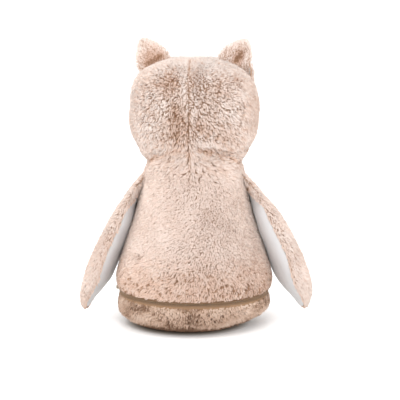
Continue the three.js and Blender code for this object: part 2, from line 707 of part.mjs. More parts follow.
// One piece of an ear. Its edges bend forward, more towards the tip, so that the ear is cupped.
// Local x runs across the ear, y up it and z towards the owl's back.
function earPiece(isLining) {
  const blade = earShares.map(([share, width, thickness]) => ({
    along: share * earRise, half: width * earHalfWidth, top: thickness * earRootRadius,
  }));
  const thinnest = seamGap - earSplit;
  const stations = [...rootStations(earRootRadius, earHalfWidth), ...blade]
    .filter(({ top }) => !isLining || top > thinnest);
  const count = earSides / 2;
  const rings = stations.map(({ along, half, top }) => {
    const bend = earCup * THREE.MathUtils.smoothstep(along, 0, earRise);
    const reachShare = isLining ? squared(Math.asin((-earSplit / top) ** (earPower / 2)), earPower)[0] : 1;
    const front = [];
    const back = [];
    for (let j = 0; j <= count; j += 1) {
      const across = -reachShare * Math.cos(Math.PI * j / count);
      const thick = top * (1 - Math.abs(across) ** earPower) ** (1 / earPower);
      const forward = bend * across * across;
      const low = isLining ? Math.min(-thick, earSplit - seamGap)
        : Math.max(-thick - seamGap / 2, earSplit + earGap);
      const high = isLining ? earSplit : thick + seamGap / 2;
      front.push([along, half * across, low - forward]);
      back.unshift([along, half * across, high - forward]);
    }
    return [...front, ...back];
  });
  const upright = new THREE.Matrix4().makeBasis(
    new THREE.Vector3(0, 1, 0), new THREE.Vector3(1, 0, 0), new THREE.Vector3(0, 0, 1));
  return solid(placed(loft(rings), upright));
}

const earParts = {
  ear_back: [earPiece(false), plush],
  ear_lining: [earPiece(true), white],
};

// A wing reaches into its seat with half the gap, so that it turns there freely
const bodyRoom = bodyForm(-seamGap);
const wingStop = bodyRoom.subtract(wingSeatsWith(hingeGap / 2));
for (const [name, side] of sides) {
  const wingPlace = wingMatrix(side, wingTurn[name]);
  for (const [part, [shape, material]] of Object.entries(wingParts)) {
    add(`${part}_${name}`, solid(placed(geometryOf(shape), wingPlace)).subtract(wingStop), material);
  }
  const earPlace = earMatrix(side);
  for (const [part, [shape, material]] of Object.entries(earParts)) {
    add(`${part}_${name}`, solid(placed(geometryOf(shape), earPlace)), material);
  }
  const foot = new THREE.SphereGeometry(1, footSides, footSides / 2);
  foot.scale(footHalfWidth, footHalfLength, footHalfHeight);
  foot.translate(side * footSpacing / 2, -footReach, footLift);
  const footShape = solid(foot).subtract(bodyRoom).intersect(above(0));
  add(`foot_${name}`, footShape, tanFelt);
}

export default group;
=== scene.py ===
# Looks of a plush owl with a zipped base: pile, linings, zip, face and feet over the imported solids.
# Lengths are in millimetres until a mesh is written. +Z is up, the owl faces -Y.
from functools import partial
from math import asin, atan2, cos, pi, radians, sin

import bpy
import numpy as np
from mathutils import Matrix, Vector


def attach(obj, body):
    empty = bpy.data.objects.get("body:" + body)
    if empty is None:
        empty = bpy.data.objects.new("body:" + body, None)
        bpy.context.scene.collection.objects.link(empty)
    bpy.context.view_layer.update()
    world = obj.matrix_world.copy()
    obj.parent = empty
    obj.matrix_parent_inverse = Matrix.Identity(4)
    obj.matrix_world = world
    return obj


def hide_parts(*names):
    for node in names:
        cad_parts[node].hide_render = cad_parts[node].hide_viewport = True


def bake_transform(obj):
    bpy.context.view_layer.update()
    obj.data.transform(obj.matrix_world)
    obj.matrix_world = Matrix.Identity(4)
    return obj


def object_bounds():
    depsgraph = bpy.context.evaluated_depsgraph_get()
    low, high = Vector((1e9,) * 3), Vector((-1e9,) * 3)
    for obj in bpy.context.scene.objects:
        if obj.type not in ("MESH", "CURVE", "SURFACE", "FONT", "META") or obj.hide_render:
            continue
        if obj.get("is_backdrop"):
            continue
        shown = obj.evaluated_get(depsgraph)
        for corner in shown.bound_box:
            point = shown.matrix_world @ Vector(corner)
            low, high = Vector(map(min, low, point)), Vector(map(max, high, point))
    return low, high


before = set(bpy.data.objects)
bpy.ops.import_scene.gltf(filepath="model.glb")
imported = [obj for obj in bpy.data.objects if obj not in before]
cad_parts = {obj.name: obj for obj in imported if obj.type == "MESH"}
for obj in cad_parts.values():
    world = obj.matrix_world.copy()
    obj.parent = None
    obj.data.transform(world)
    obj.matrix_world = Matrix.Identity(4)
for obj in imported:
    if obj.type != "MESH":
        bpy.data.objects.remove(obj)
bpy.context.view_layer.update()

MM = 0.001
rng = np.random.default_rng(20)

# Sizes shared with the solids
BODY_OUTLINE = [
    (80, 0), (92.25, 5.1), (101.56, 16.5), (104.5, 30), (103, 46), (106, 62), (102.5, 84.3), (90.5, 125.2),
    (82, 157.5), (75, 186), (70.05, 204), (64, 222), (60.16, 239.8), (53.76, 275.3)]

BELLY_Z, CREASE_Z, NECK_DEPTH = 62, 222, 0.86
LOWER_RIM, UPPER_RIM, ZIP_Z, ZIP_END = 42, 50, 46, -18
TAPE_R, COIL_IN, COIL_OUT = 99.4, 99.7, 101.5
SIDE_SEAM_Y, FACE_SEAM_Y, BACK_SEAM_X = -35, -18, 4
HEAD_WIDE, HEAD_DEEP, HEAD_Z, CROWN, JAW = 88.5, 76, 285, 80, 85.6
CROWN_POWER, JAW_POWER, PLAN_POWER = 2.9, 2.2, 2.2
NECK_LOW, NECK_HIGH = 208, 257
FOLD_Y = 6
SPREAD = radians(7.46) + atan2(31, 124)
TURN = {"left": radians(9), "right": radians(17)}
SIDES = {"left": 1, "right": -1}

# Depth of the backing below the pile's tips, its thickness, and strands in a square millimetre
PILE_DEPTH, BACKING_WALL, DENSITY, WHITE_DENSITY = 6.3, 1.4, 1.18, 0.8

# Spacing of the panels' grids, and the radius that turns their angles into lengths
STEP, ABOUT_R = 3.0, 100

# Multipliers that scramble whole numbers
SCRAMBLER = np.uint32(0x45D9F3B)
PRIMES = np.array([73856093, 19349663, 83492791], np.uint32)


# Numbers that look random but belong to places

def mixed(h):
    for _ in range(2):
        h = (h ^ (h >> np.uint32(16))) * SCRAMBLER
    return h ^ (h >> np.uint32(16))


def lattice(cells, salt):
    """A number from 0 to 1 for each whole-number place."""
    x, y, z = np.moveaxis(cells.astype(np.int64).astype(np.uint32) * PRIMES, -1, 0)
    return mixed(mixed((x ^ y ^ z) + np.uint32(salt * 977 + 13))).astype(np.float64) / 2**32


def noise(points, size, salt=0):
    """Smooth noise from 0 to 1 with features of about that size."""
    q = points / size + 100
    base = np.floor(q)
    f = q - base
    f = f * f * (3 - 2 * f)
    total = np.zeros(points.shape[:-1])
    for corner in np.ndindex(2, 2, 2):
        total += np.prod(np.where(corner, f, 1 - f), axis=-1) * lattice(base + corner, salt)
    return total


def signed(points, size, salt=0):
    return 2 * noise(points, size, salt) - 1


def nearest_centres(points, size, salt):
    """The nearest centre of a jittered lattice, and a random number that belongs to it."""
    base = np.floor(points / size)
    best = np.full(len(points), np.inf)
    centre = np.zeros_like(points)
    cell_id = np.zeros(len(points))
    for offset in np.ndindex(3, 3, 3):
        cell = base + offset - 1
        jitter = np.stack([lattice(cell, salt + k) for k in range(3)], axis=1)
        place = (cell + jitter) * size
        gap = np.sum((place - points) ** 2, axis=1)
        closer = gap < best
        best[closer] = gap[closer]
        centre[closer] = place[closer]
        cell_id[closer] = lattice(cell, salt + 7)[closer]
    return centre, cell_id


def smooth(x, low=0.0, high=1.0):
    """0 at low and before it, 1 at high and beyond, with soft ends."""
    t = np.clip((x - low) / (high - low), 0, 1)
    return t * t * (3 - 2 * t)


def bell(distance, width):
    """1 in the middle, and next to nothing at twice the width."""
    return np.exp(-(distance / width) ** 2)


def squarer(wave, power):
    """A sine or cosine bent so that its circle grows squarer as power rises above 2."""
    return np.sign(wave) * np.abs(wave) ** (2 / power)


def xyz(x, y, z):
    """Points from their coordinates, or triangles from their corners."""
    return np.stack(np.broadcast_arrays(x, y, z), axis=-1)


def unit(v):
    return v / np.maximum(np.linalg.norm(v, axis=-1, keepdims=True), 1e-9)


# Meshes

def link_object(name, data):
    obj = bpy.data.objects.new(name, data)
    bpy.context.scene.collection.objects.link(obj)
    return obj


def mesh_object(name, points, faces, material, uv=None, facing=None):
    """A mesh from points in millimetres. facing gives normals other than those of its faces."""
    mesh = bpy.data.meshes.new(name)
    parts = [np.asarray(f, np.int32) for f in faces]
    loops = np.concatenate([p.ravel() for p in parts])
    totals = np.concatenate([np.full(len(p), p.shape[1]) for p in parts])
    starts = np.concatenate([[0], np.cumsum(totals)[:-1]]).astype(np.int32)
    mesh.vertices.add(len(points))
    mesh.vertices.foreach_set("co", (np.asarray(points) * MM).astype(np.float32).ravel())
    mesh.loops.add(len(loops))
    mesh.loops.foreach_set("vertex_index", loops)
    mesh.polygons.add(len(totals))
    mesh.polygons.foreach_set("loop_start", starts)
    mesh.polygons.foreach_set("use_smooth", np.full(len(totals), True))
    mesh.update(calc_edges=True)
    if uv is not None:
        layer = mesh.uv_layers.new(name="OFBake")
        layer.uv.foreach_set("vector", np.asarray(uv, np.float32)[loops].ravel())
    if facing is not None:
        own = mesh.attributes.new("custom_normal", "FLOAT_VECTOR", "POINT")
        own.data.foreach_set("vector", np.asarray(facing, np.float32).ravel())
    mesh.materials.append(material)
    return link_object(name, mesh)


def grid_quads(rows, cols, wrap=False):
    """The faces of a grid of points that are numbered row by row."""
    n = np.arange(rows * cols).reshape(rows, cols)
    if wrap:
        n = np.concatenate([n, n[:, :1]], axis=1)
    return np.stack([n[:-1, :-1], n[:-1, 1:], n[1:, 1:], n[1:, :-1]], axis=-1).reshape(-1, 4)


def grid_normals(grid):
    return unit(np.cross(np.gradient(grid, axis=1), np.gradient(grid, axis=0)))


def cloth(name, outer, wall, normals, material):
    """A closed sheet of cloth under a grid of points, as thick as wall."""
    normals = grid_normals(outer) if normals is None else normals
    rows, cols = outer.shape[:2]
    count = rows * cols
    points = np.concatenate([outer.reshape(-1, 3), (outer - normals * wall).reshape(-1, 3)])
    front = grid_quads(rows, cols)
    back = front[:, ::-1] + count
    n = np.arange(count).reshape(rows, cols)
    edge = np.concatenate([n[0], n[1:, -1], n[-1, -2::-1], n[-2:0:-1, 0]])
    after = np.roll(edge, -1)
    rim = np.stack([edge, edge + count, after + count, after], axis=-1)
    return mesh_object(name, points, [front, back, rim], material)


def closed_form(name, rings, poles, material):
    """A closed mesh through rings of points and a pole at each end."""
    rows, cols = rings.shape[:2]
    points = np.concatenate([rings.reshape(-1, 3), np.asarray(poles, float)])
    count, j = rows * cols, np.arange(cols)
    k = np.roll(j, -1)
    tris = np.concatenate([xyz(count, k, j), xyz(count + 1, count - cols + j, count - cols + k)])
    return mesh_object(name, points, [grid_quads(rows, cols, True), tris], material)


# Materials

def wire(node, **sockets):
    """Links a node's sockets to other nodes' outputs, or sets them to numbers or colours."""
    for key, value in sockets.items():
        socket = node.inputs[key.replace("_", " ")]
        if isinstance(value, bpy.types.NodeSocket):
            node.id_data.links.new(value, socket)
        else:
            socket.default_value = (*value, 1) if socket.type == "RGBA" else value
    return node


def new_node(tree, kind, **sockets):
    return wire(tree.nodes.new(f"ShaderNode{kind}"), **sockets)


def principled(name, color, roughness, **sockets):
    material = bpy.data.materials.new(name)
    material.use_nodes = True
    shader = material.node_tree.nodes["Principled BSDF"]
    return material, wire(shader, Base_Color=color, Roughness=roughness, **sockets)


def ramp(tree, source, stops):
    node = new_node(tree, "ValToRGB", Fac=source)
    elements = node.color_ramp.elements
    while len(elements) < len(stops):
        elements.new(0.5)
    for element, (place, color) in zip(elements, stops):
        element.position = place
        element.color = (*color, 1)
    return node.outputs["Color"]


def mixed_color(tree, factor, first, second, blend="MIX"):
    node = new_node(tree, "Mix")
    node.data_type, node.blend_type = "RGBA", blend
    return wire(node, Factor=factor, A=first, B=second).outputs["Result"]


def placed(tree, kind, **sockets):
    """A node that is fed the object's own coordinates."""
    return new_node(tree, kind, Vector=new_node(tree, "TexCoord").outputs["Object"], **sockets)


def bump(shader, height, strength, distance, **before):
    node = new_node(shader.id_data, "Bump", Height=height, Strength=strength, Distance=distance, **before)
    wire(shader, Normal=node.outputs["Normal"])
    return node.outputs["Normal"]


# Where deep brown, brown and pale lie in a strand's tone, and how far up its tip's colour begins
TONES, TIP_FROM = (0.0, 0.2, 1.0), 0.6


def pile_material(name, roots, tips):
    """Colours of roots and of tips, each from deep brown over brown to pale; the darker roots are painted
    shade deep in the pile.
    """
    material, shader = principled(name, tips[-1], 0.9, Specular_IOR_Level=0.0)
    tree = material.node_tree
    place = new_node(tree, "UVMap")
    place.uv_map = "OFBake"
    split = new_node(tree, "SeparateXYZ", Vector=place.outputs["UV"])
    low, high = (ramp(tree, split.outputs["X"], list(zip(TONES, colors))) for colors in (roots, tips))
    up = ramp(tree, split.outputs["Y"], [(0.0, (0, 0, 0)), (TIP_FROM, (1, 1, 1))])
    wire(shader, Base_Color=mixed_color(tree, up, low, high))
    return material


def blotched(name, low, high, roughness, blotches, **finish):
    """Cloth that wanders between two shades: its material, nodes, shader and noise."""
    material, shader = principled(name, high, roughness, **finish)
    tree = material.node_tree
    wander = placed(tree, "TexNoise", **blotches)
    wire(shader, Base_Color=mixed_color(tree, wander.outputs["Fac"], low, high))
    return material, tree, shader, wander


def backing_material(name, low, high):
    """Knitted cloth that shows between the roots."""
    material, tree, shader, _ = blotched(name, low, high, 0.95, dict(Scale=60, Detail=6.0, Roughness=0.65))
    bump(shader, placed(tree, "TexVoronoi", Scale=900).outputs["Distance"], 0.5, 0.0004)
    return material


def nap_material(name, low, high):
    """Smooth cloth with a fine nap and faint brushed streaks."""
    material, tree, shader, streaks = blotched(
        name, low, high, 0.8, dict(Scale=45, Detail=5.0, Roughness=0.6, Distortion=0.4),
        Sheen_Weight=0.4, Sheen_Roughness=0.4, Specular_IOR_Level=0.25)
    nap = placed(tree, "TexNoise", Scale=1400, Detail=3.0, Roughness=0.7)
    first = bump(shader, nap.outputs["Fac"], 0.35, 0.0006)
    bump(shader, streaks.outputs["Fac"], 0.25, 0.004, Normal=first)
    return material


def woven(name, low, high, fine):
    material, tree, shader, _ = blotched(name, low, high, 0.85, dict(Scale=120, Detail=4.0, Roughness=0.6))
    weave = placed(tree, "TexNoise", Scale=fine, Detail=2.0, Roughness=0.8)
    bump(shader, weave.outputs["Fac"], 0.5, 0.0004)
    return material


PLUSH = pile_material(
    "plush_pile", [(0.22, 0.095, 0.04), (0.46, 0.25, 0.145), (0.78, 0.62, 0.53)],
    [(0.44, 0.26, 0.165), (0.785, 0.572, 0.457), (0.955, 0.87, 0.82)])

BASE_PLUSH = pile_material(
    "base_pile", [(0.10, 0.05, 0.025), (0.32, 0.185, 0.12), (0.62, 0.45, 0.35)],
    [(0.24, 0.14, 0.09), (0.64, 0.455, 0.345), (0.91, 0.765, 0.665)])

BACKING = backing_material("plush_backing", (0.48, 0.29, 0.18), (0.64, 0.44, 0.32))
BASE_BACKING = backing_material("base_backing", (0.26, 0.16, 0.11), (0.40, 0.27, 0.20))
WHITE = nap_material("white_nap", (0.59, 0.585, 0.59), (0.655, 0.65, 0.655))
WHITE_PILE = pile_material(
    "white_pile", [(0.62, 0.62, 0.63), (0.72, 0.72, 0.73), (0.82, 0.82, 0.83)],
    [(0.78, 0.78, 0.79), (0.87, 0.87, 0.88), (0.95, 0.95, 0.96)])

TAPE = woven("zip_tape", (0.27, 0.15, 0.08), (0.38, 0.235, 0.135), 2600)
BAG = woven("pod_bag", (0.82, 0.81, 0.79), (0.90, 0.895, 0.88), 1500)
FELT = woven("felt", (0.42, 0.26, 0.14), (0.52, 0.33, 0.19), 1100)
COIL, _ = principled("coil_nylon", (0.27, 0.165, 0.09), 0.45)
METAL, _ = principled("zip_metal", (0.42, 0.34, 0.25), 0.38, Metallic=0.9)
GLOSSY, _ = principled("eye_black", (0.012, 0.011, 0.010), 0.12, Coat_Weight=0.6)
WASHER, _ = principled("washer", (0.75, 0.74, 0.70), 0.35, Transmission_Weight=0.3)


def paint(material, *nodes):
    """Gives solids that stay as they are a better material."""
    for node in nodes:
        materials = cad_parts[node].data.materials
        materials.clear()
        materials.append(material)


# Body and head: one surface of rings, elliptical below and squarer above

def catmull(points, steps=24):
    """A smooth curve through the points, the same as the solids are drawn with."""
    p = np.asarray(points, float)
    p = np.concatenate([p[:1], p, p[-1:]])
    t = np.linspace(0, 1, steps, endpoint=False)[:, None]
    pieces = []
    for a, b, c, d in zip(p[:-3], p[1:-2], p[2:-1], p[3:]):
        v, w = (c - a) / 2, (d - b) / 2
        pieces.append((2 * b - 2 * c + v + w) * t**3 + (-3 * b + 3 * c - 2 * v - w) * t**2 + v * t + b)
    return np.concatenate([*pieces, p[-1:]])


outline = catmull(BODY_OUTLINE)


def body_radius(z):
    return np.interp(z, outline[:, 1], outline[:, 0])


def head_share(z):
    """Half width of the head at a height, over its greatest."""
    up = (z - HEAD_Z) / np.where(z > HEAD_Z, CROWN, JAW)
    power = np.where(z > HEAD_Z, CROWN_POWER, JAW_POWER)
    return np.maximum(1 - np.abs(up) ** power, 0) ** (1 / power)


def crease_height(angle):
    """Height of the neck crease, which rises to the nape and a little to the throat."""
    s = np.sin(angle)
    return CREASE_Z + 21 * np.clip(s, 0, 1) ** 1.5 + 8 * np.clip(-s, 0, 1) ** 1.5


def owl_point(angle, z, share=None):
    """Points on the owl's outer form. share is head_share(z), for where z alone is too coarse."""
    share = head_share(z) if share is None else share
    wide_body = body_radius(z)
    deep_body = wide_body * (1 - (1 - NECK_DEPTH) * smooth(z, BELLY_Z, CREASE_Z))
    crease = crease_height(angle)
    w = 0.7 * smooth(z, crease - 26, crease) + 0.3 * smooth(z, crease, crease + 7)
    below = z < crease
    wide_gap = HEAD_WIDE * share - wide_body
    deep_gap = HEAD_DEEP * share - deep_body
    wide = wide_body + w * np.where(below, np.maximum(wide_gap, 0), wide_gap)
    deep = deep_body + w * np.where(below, np.maximum(deep_gap, 0), deep_gap)
    power = 2 + (PLAN_POWER - 2) * smooth(z, 200, 250)
    return xyz(wide * squarer(np.cos(angle), power), deep * squarer(np.sin(angle), power), z)


def angle_where(z, share, axis, value, angles):
    """The angle at each height where x (axis 0) or y (1) has a value; it rises along the angles."""
    points = owl_point(angles[None, :], z[:, None], share[:, None])
    return np.array([np.interp(value, row, angles) for row in points[..., axis]])


def distances(x, y):
    """Distances along a curve from its first point."""
    return np.concatenate([[0], np.cumsum(np.hypot(np.diff(x), np.diff(y)))])


def row_places(low, high, step=STEP):
    """Heights evenly spaced along the surface, and the head's share at each."""
    if high <= HEAD_Z:
        z = np.linspace(low, high, 400)
        share = head_share(z)
    else:
        under = np.linspace(low, HEAD_Z, 200)[:-1]
        turn = np.linspace(0, pi / 2 - 1e-4, 400)
        z = np.concatenate([under, HEAD_Z + CROWN * np.sin(turn) ** (2 / CROWN_POWER)])
        share = np.concatenate([head_share(under), np.cos(turn) ** (2 / CROWN_POWER)])
    length = distances(z, np.where(z < NECK_LOW, body_radius(z), HEAD_WIDE * share))
    at = np.linspace(0, length[-1], max(int(length[-1] / step) + 1, 3))
    return np.interp(at, length, z), np.interp(at, length, share)


def panel(z, share, start, end):
    """A grid over the owl's form, between two angles at each height."""
    widest = np.max(np.abs(end - start)) * ABOUT_R
    t = np.linspace(0, 1, max(int(widest / STEP) + 1, 3))[None, :]
    return owl_point(start[:, None] * (1 - t) + end[:, None] * t, z[:, None], share[:, None])


def panels(low, high, seam_y):
    """The back's two panels and the front one, between the seams."""
    z, share = row_places(low, high)
    seam = angle_where(z, share, 1, seam_y, np.linspace(-pi / 2, pi / 2, 181))
    middle = angle_where(z, share, 0, BACK_SEAM_X, np.linspace(pi, 0, 361))
    return {
        "left": panel(z, share, seam, middle),
        "right": panel(z, share, middle, pi - seam),
        "front": panel(z, share, pi - seam, 2 * pi + seam),
    }


def stations_along(stations, steps, spacing=None, count=None):
    """The columns of a curve through stations, even along its first two."""
    columns = catmull(stations, steps).T
    length = distances(*columns[:2])
    at = np.linspace(0, length[-1], count or int(length[-1] / spacing))
    return [np.interp(at, length, column)[:, None] for column in columns]


# What the pieces are to the frame

def settle(piece, body, nodes=()):
    """The solids that a piece stands for, and its body."""
    if nodes:
        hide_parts(*nodes)
    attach(piece, body)


def clothed(name, grid, body, nodes, material, wall, normals=None):
    settle(cloth(name, grid, wall, normals, material), body, nodes)


# Pile

def scatter(grid, normals, density, keep=None):
    """Random places over a grid of points: their points and normals."""
    a, b, c, d = grid[:-1, :-1], grid[:-1, 1:], grid[1:, 1:], grid[1:, :-1]
    wanted = 0.5 * np.linalg.norm(np.cross(c - a, d - b), axis=-1) * density
    count = np.floor(wanted + rng.random(wanted.shape)).astype(int)
    i, j = np.nonzero(count)
    times = count[i, j]
    i, j = np.repeat(i, times), np.repeat(j, times)
    u, v = rng.random(len(i))[:, None], rng.random(len(i))[:, None]

    def between(field):
        return ((field[i, j] * (1 - u) + field[i, j + 1] * u) * (1 - v)
                + (field[i + 1, j] * (1 - u) + field[i + 1, j + 1] * u) * v)

    points, facing = between(grid), unit(between(normals))
    if keep is not None:
        kept = keep(points)
        points, facing = points[kept], facing[kept]
    return points, facing


def flattened(v, normals):
    """What is left of a vector without its part along the normals."""
    return v - normals * np.sum(v * normals, axis=1, keepdims=True)


# How much of the colour scale one strand covers
TONE_BLUR = 0.004


def strands(name, points, normals, grain, look, material):
    """Pile as slender closed leaves, widest half way.

    look gives, for each strand or for all: length, lean (0 upright to 1 flat), gather (how far tips draw
    together), clump (a tuft's size), stretch (how much longer tufts are along longways), tone, shade (painted
    shade that darkens a tuft's edge, and how widely tufts' tones spread), width, sway, and lowest (no tip
    hangs below it).
    """
    n = len(points)

    def given(key):
        return np.broadcast_to(np.asarray(look[key], float), (n,))

    length = (given("length") * (0.85 + 0.3 * rng.random(n)))[:, None]
    clump = float(look["clump"])
    longways = unit(np.asarray(look.get("longways", (0, 0, -1)), float))
    squeezed = np.eye(3) - np.outer(longways, longways) * (1 - 1 / look.get("stretch", 1.0))
    restored = np.linalg.inv(squeezed)
    centre, clump_id = nearest_centres(points @ squeezed, clump, 11)
    wide_centre, wide_id = nearest_centres(points @ squeezed, clump * 2.7, 31)
    centre, wide_centre = centre @ restored, wide_centre @ restored
    pull = flattened(centre - points, normals) + 0.4 * flattened(wide_centre - points, normals)
    side = np.cross(normals, grain)
    sway = ((clump_id - 0.5) * 1.5 + (wide_id - 0.5) * 1.2) * given("sway") + rng.normal(0, 0.18, n)
    way = unit(flattened(grain + side * sway[:, None], normals))
    own_number = lattice(np.stack([clump_id * 4096, wide_id * 4096, clump_id * 64], axis=1), 3)
    lean = given("lean") * (0.8 + 0.4 * own_number)
    lean = np.clip(lean + rng.normal(0, 0.06, n), 0.02, 0.97)[:, None]
    rise, run = normals * length * np.sqrt(1 - lean**2), way * length * lean
    drawn = pull * given("gather")[:, None]
    mid = points + rise * 0.62 + run * 0.38 + drawn * 0.35
    tip = points + rise + run + drawn + rng.normal(0, 0.25, (n, 3))
    along = unit(tip - points)
    across = unit(np.cross(along, normals) + 1e-6)
    turn = rng.normal(0, 0.6, n)[:, None]
    across = across * np.cos(turn) + np.cross(along, across) * np.sin(turn)
    above = np.cross(across, along)
    up_or_down = np.where(np.sum(above * normals, axis=1, keepdims=True) < 0, -1, 1)
    across, above = across * up_or_down, above * up_or_down
    half = 0.5 * (given("width") * (0.7 + 0.6 * rng.random(n)))[:, None]
    mid = mid + above * 0.2
    verts = np.stack([points + normals * 0.1, mid - across * half, mid + across * half, tip], axis=1)
    if "lowest" in look:
        verts[..., 2] = np.maximum(verts[..., 2], given("lowest")[:, None])
    top = 1.5 * normals + 0.6 * above
    under = 1.3 * (lean + 0.35) * normals - 1.3 * above
    shown = unit(np.stack([top, top - 0.5 * across, top + 0.5 * across, top + 0.4 * along,
                           under, under - 0.5 * across, under + 0.5 * across, under], axis=1))
    verts = np.concatenate([verts, verts], axis=1)
    from_middle = np.linalg.norm(flattened(centre - points, normals) @ squeezed, axis=1) / clump
    tone = given("tone") + rng.normal(0, 0.065, n) + (clump_id - 0.5) * (0.12 + 0.25 * given("shade"))
    # painted shade: each tuft darkens towards its edge, in the gaps between tufts
    tone = np.clip(tone + given("shade") * (0.14 - from_middle**2), 0.01, 0.97)
    uv = np.stack([tone[:, None] + np.array([TONE_BLUR / 2, 0, TONE_BLUR, TONE_BLUR / 2] * 2),
                   np.broadcast_to([0.02, 0.5, 0.5, 0.98] * 2, (n, 8))], axis=-1)
    start = np.arange(n)[:, None, None] * 8
    tris = (start + np.array([(1, 2, 3), (0, 2, 1), (4, 5, 7), (4, 7, 6)])).reshape(-1, 3)
    return mesh_object(name, verts.reshape(-1, 3), [tris], material, uv.reshape(-1, 2), shown.reshape(-1, 3))


def along_surface(way, normals):
    return unit(flattened(way, normals) + 1e-6)


# Where the pile turns in a curl on the back, in x and z
CURL = np.array([71.0, 106.0])


def down_grain(points, normals):
    """The pile lies downwards, and over the crown away from the seam between face and back."""
    x, z = points[:, 0] - BACK_SEAM_X, points[:, 2]
    behind = smooth(points[:, 1], -10, 10)
    nape = behind * bell(z - 222, 24)
    parting = 0.6 * behind * np.exp(-np.abs(x) / 4) * smooth(z, 175, 235) * np.sign(x)
    way = np.zeros_like(points)
    way[:, 2] = -1
    way[:, 0] = 0.5 * x / 60 + 1.9 * nape * np.tanh(x / 15) + parting + 0.9 * behind * smooth(z, 215, 170)
    way[:, 0] -= 0.45 * behind * (x < 0) * smooth(z, 245, 260) * smooth(z, 350, 325)
    from_curl = points[:, [0, 2]] - CURL
    curl = 3 * behind * np.exp(-np.sum(from_curl**2, axis=1) / 50)
    way[:, 0] += curl * from_curl[:, 1] / 5
    way[:, 2] -= curl * from_curl[:, 0] / 5
    way[:, 1] = 0.8 * np.tanh((points[:, 1] - FACE_SEAM_Y) / 6)
    return along_surface(way, normals)


def swirled(grain, points, normals, salt):
    """The pile's direction, turned a little here and there."""
    side = np.cross(normals, grain)
    turn = 0.5 * signed(points, 26, salt) + 0.25 * signed(points, 10.4, salt + 1)
    return unit(grain * np.cos(turn)[:, None] + side * np.sin(turn)[:, None])


EAR_ROOT = np.array([54.516, 2, 357.48])
EAR_TILT = radians(29)


def ear_place(points):
    """How far points lie inwards along the root of the ear on their side, and above it."""
    x, z = np.abs(points[:, 0]) - EAR_ROOT[0], points[:, 2] - EAR_ROOT[2]
    return z * sin(EAR_TILT) - x * cos(EAR_TILT), x * sin(EAR_TILT) + z * cos(EAR_TILT)


def seam_line(points):
    """1 on the seam down the back of the head, a wandering line, and 0 away from it."""
    x, z = points[:, 0], points[:, 2]
    height = xyz(0, 0, z)
    wander = 0.9 * signed(height, 16, 91)
    shows = 0.75 + 0.35 * signed(height, 13, 92)
    near = bell(x - BACK_SEAM_X - wander, 1.2)
    return near * shows * (points[:, 1] > 0) * smooth(z, 180, 228)


def body_look(points):
    """Longer and tufted at the nape, mottled above the zip, and darker towards the zip with painted shade."""
    z = points[:, 2]
    patch = signed(points, 22, 5) + 0.5 * signed(points, 9, 6)
    low = smooth(z, 125, 55)
    nape = smooth(z, 196, 236)
    groove = seam_line(points)
    near_zip = (z < UPPER_RIM + 9) & (points[:, 1] > ZIP_END)
    ragged = UPPER_RIM - 0.2 + 2.2 * signed(points, 4, 8)
    speckle = 0.12 * signed(points, 6, 7) + 1.5 * np.minimum(signed(points, 2.6, 9) + 0.32, 0)
    return dict(
        length=6.8 + 3.2 * nape - 2.0 * groove, lean=0.58 + 0.06 * patch + 0.08 * nape - 0.08 * low,
        gather=0.1 + 0.85 * nape + 0.42 * low, clump=2.2, width=1.15,
        sway=0.4 + 0.5 * nape + 0.3 * low, shade=0.65 * nape + 0.25 * low,
        # the smooth(z, 116, 58) term is painted shade on the lower body
        tone=0.64 + 0.035 * patch - 0.3 * smooth(z, 116, 58) + low * speckle - 0.3 * groove,
        lowest=np.where(near_zip, ragged, 0.2))


# Where the back of the head is browner: x, z, half width, half height, and how much
BROWN_PATCHES = [
    (19, 284, 12, 32, 1.0), (28, 335, 13, 13, 0.9), (-12, 279, 15, 10, 0.7), (-45, 262, 14, 16, 0.35),
    (-30, 326, 13, 16, 0.4)]


def head_look(points):
    """Tufted at the back, calmer over the crown and the sides, and short beside the ears; painted light on
    the crown and the calm places, painted shade on the sides.
    """
    x, z = points[:, 0], points[:, 2]
    is_left = x > 0
    patch = signed(points, 20, 15) + 0.6 * signed(points, 8, 16)
    groove = seam_line(points)
    beside = bell(x - BACK_SEAM_X - 5, 6) * smooth(z, 300, 322)
    brown = sum(much * bell(x - at_x, wide) * bell(z - at_z, high)
                for at_x, at_z, wide, high, much in BROWN_PATCHES) * (points[:, 1] > 0)
    crown = smooth(z, 332, 362)
    dots = np.minimum(signed(points, 3.0, 18) + 0.25, 0)
    flecks = signed(points, 2.6, 17) * (0.35 + brown) + (4.5 - 2.5 * is_left) * dots
    sides = smooth(np.abs(x), 54, 80)
    calm = np.clip(crown + beside + sides, 0, 1)
    across, along = ear_place(points)
    near_ear = bell(along, 7) * bell(points[:, 1] - EAR_ROOT[1], 11) * (np.abs(across) < 27)
    tone = np.clip(0.75 + 0.1 * patch - 0.48 * brown + 0.14 * flecks, 0.06, 0.92)
    return dict(
        length=6.9 - 1.0 * crown - 2.8 * groove - 2.6 * near_ear,
        lean=np.clip(0.36 + 0.1 * patch + 0.3 * calm + 0.2 * near_ear, 0.15, 0.9),
        gather=np.clip(1.05 - 0.4 * (x < 0) + 0.1 * patch - 0.75 * calm, 0.15, 1.2),
        clump=2.9, width=1.0, sway=0.9 - 0.5 * calm, shade=0.34 + 0.26 * is_left - 0.28 * calm,
        stretch=float(np.interp(np.mean(x), [-20, 20], [1.5, 1.1])), longways=(-0.5, 0, -1),
        # painted light: calm and crown lighten the top and the calm places; painted shade: sides darken the
        # sides, the right side (x < 0) most
        tone=tone + 0.12 * calm + 0.1 * crown - sides * (0.12 + 0.12 * (x < 0)) - 0.5 * groove
        + 0.1 * (points[:, 1] < 0))


def above_crease(points):
    """Height above the fold between head and body, which rises to the middle of the back."""
    x, y, z = np.moveaxis(points, -1, 0)
    return z - crease_height(np.arctan2(y, x)) - 10 * (y > 0) * bell(x - 8, 30)


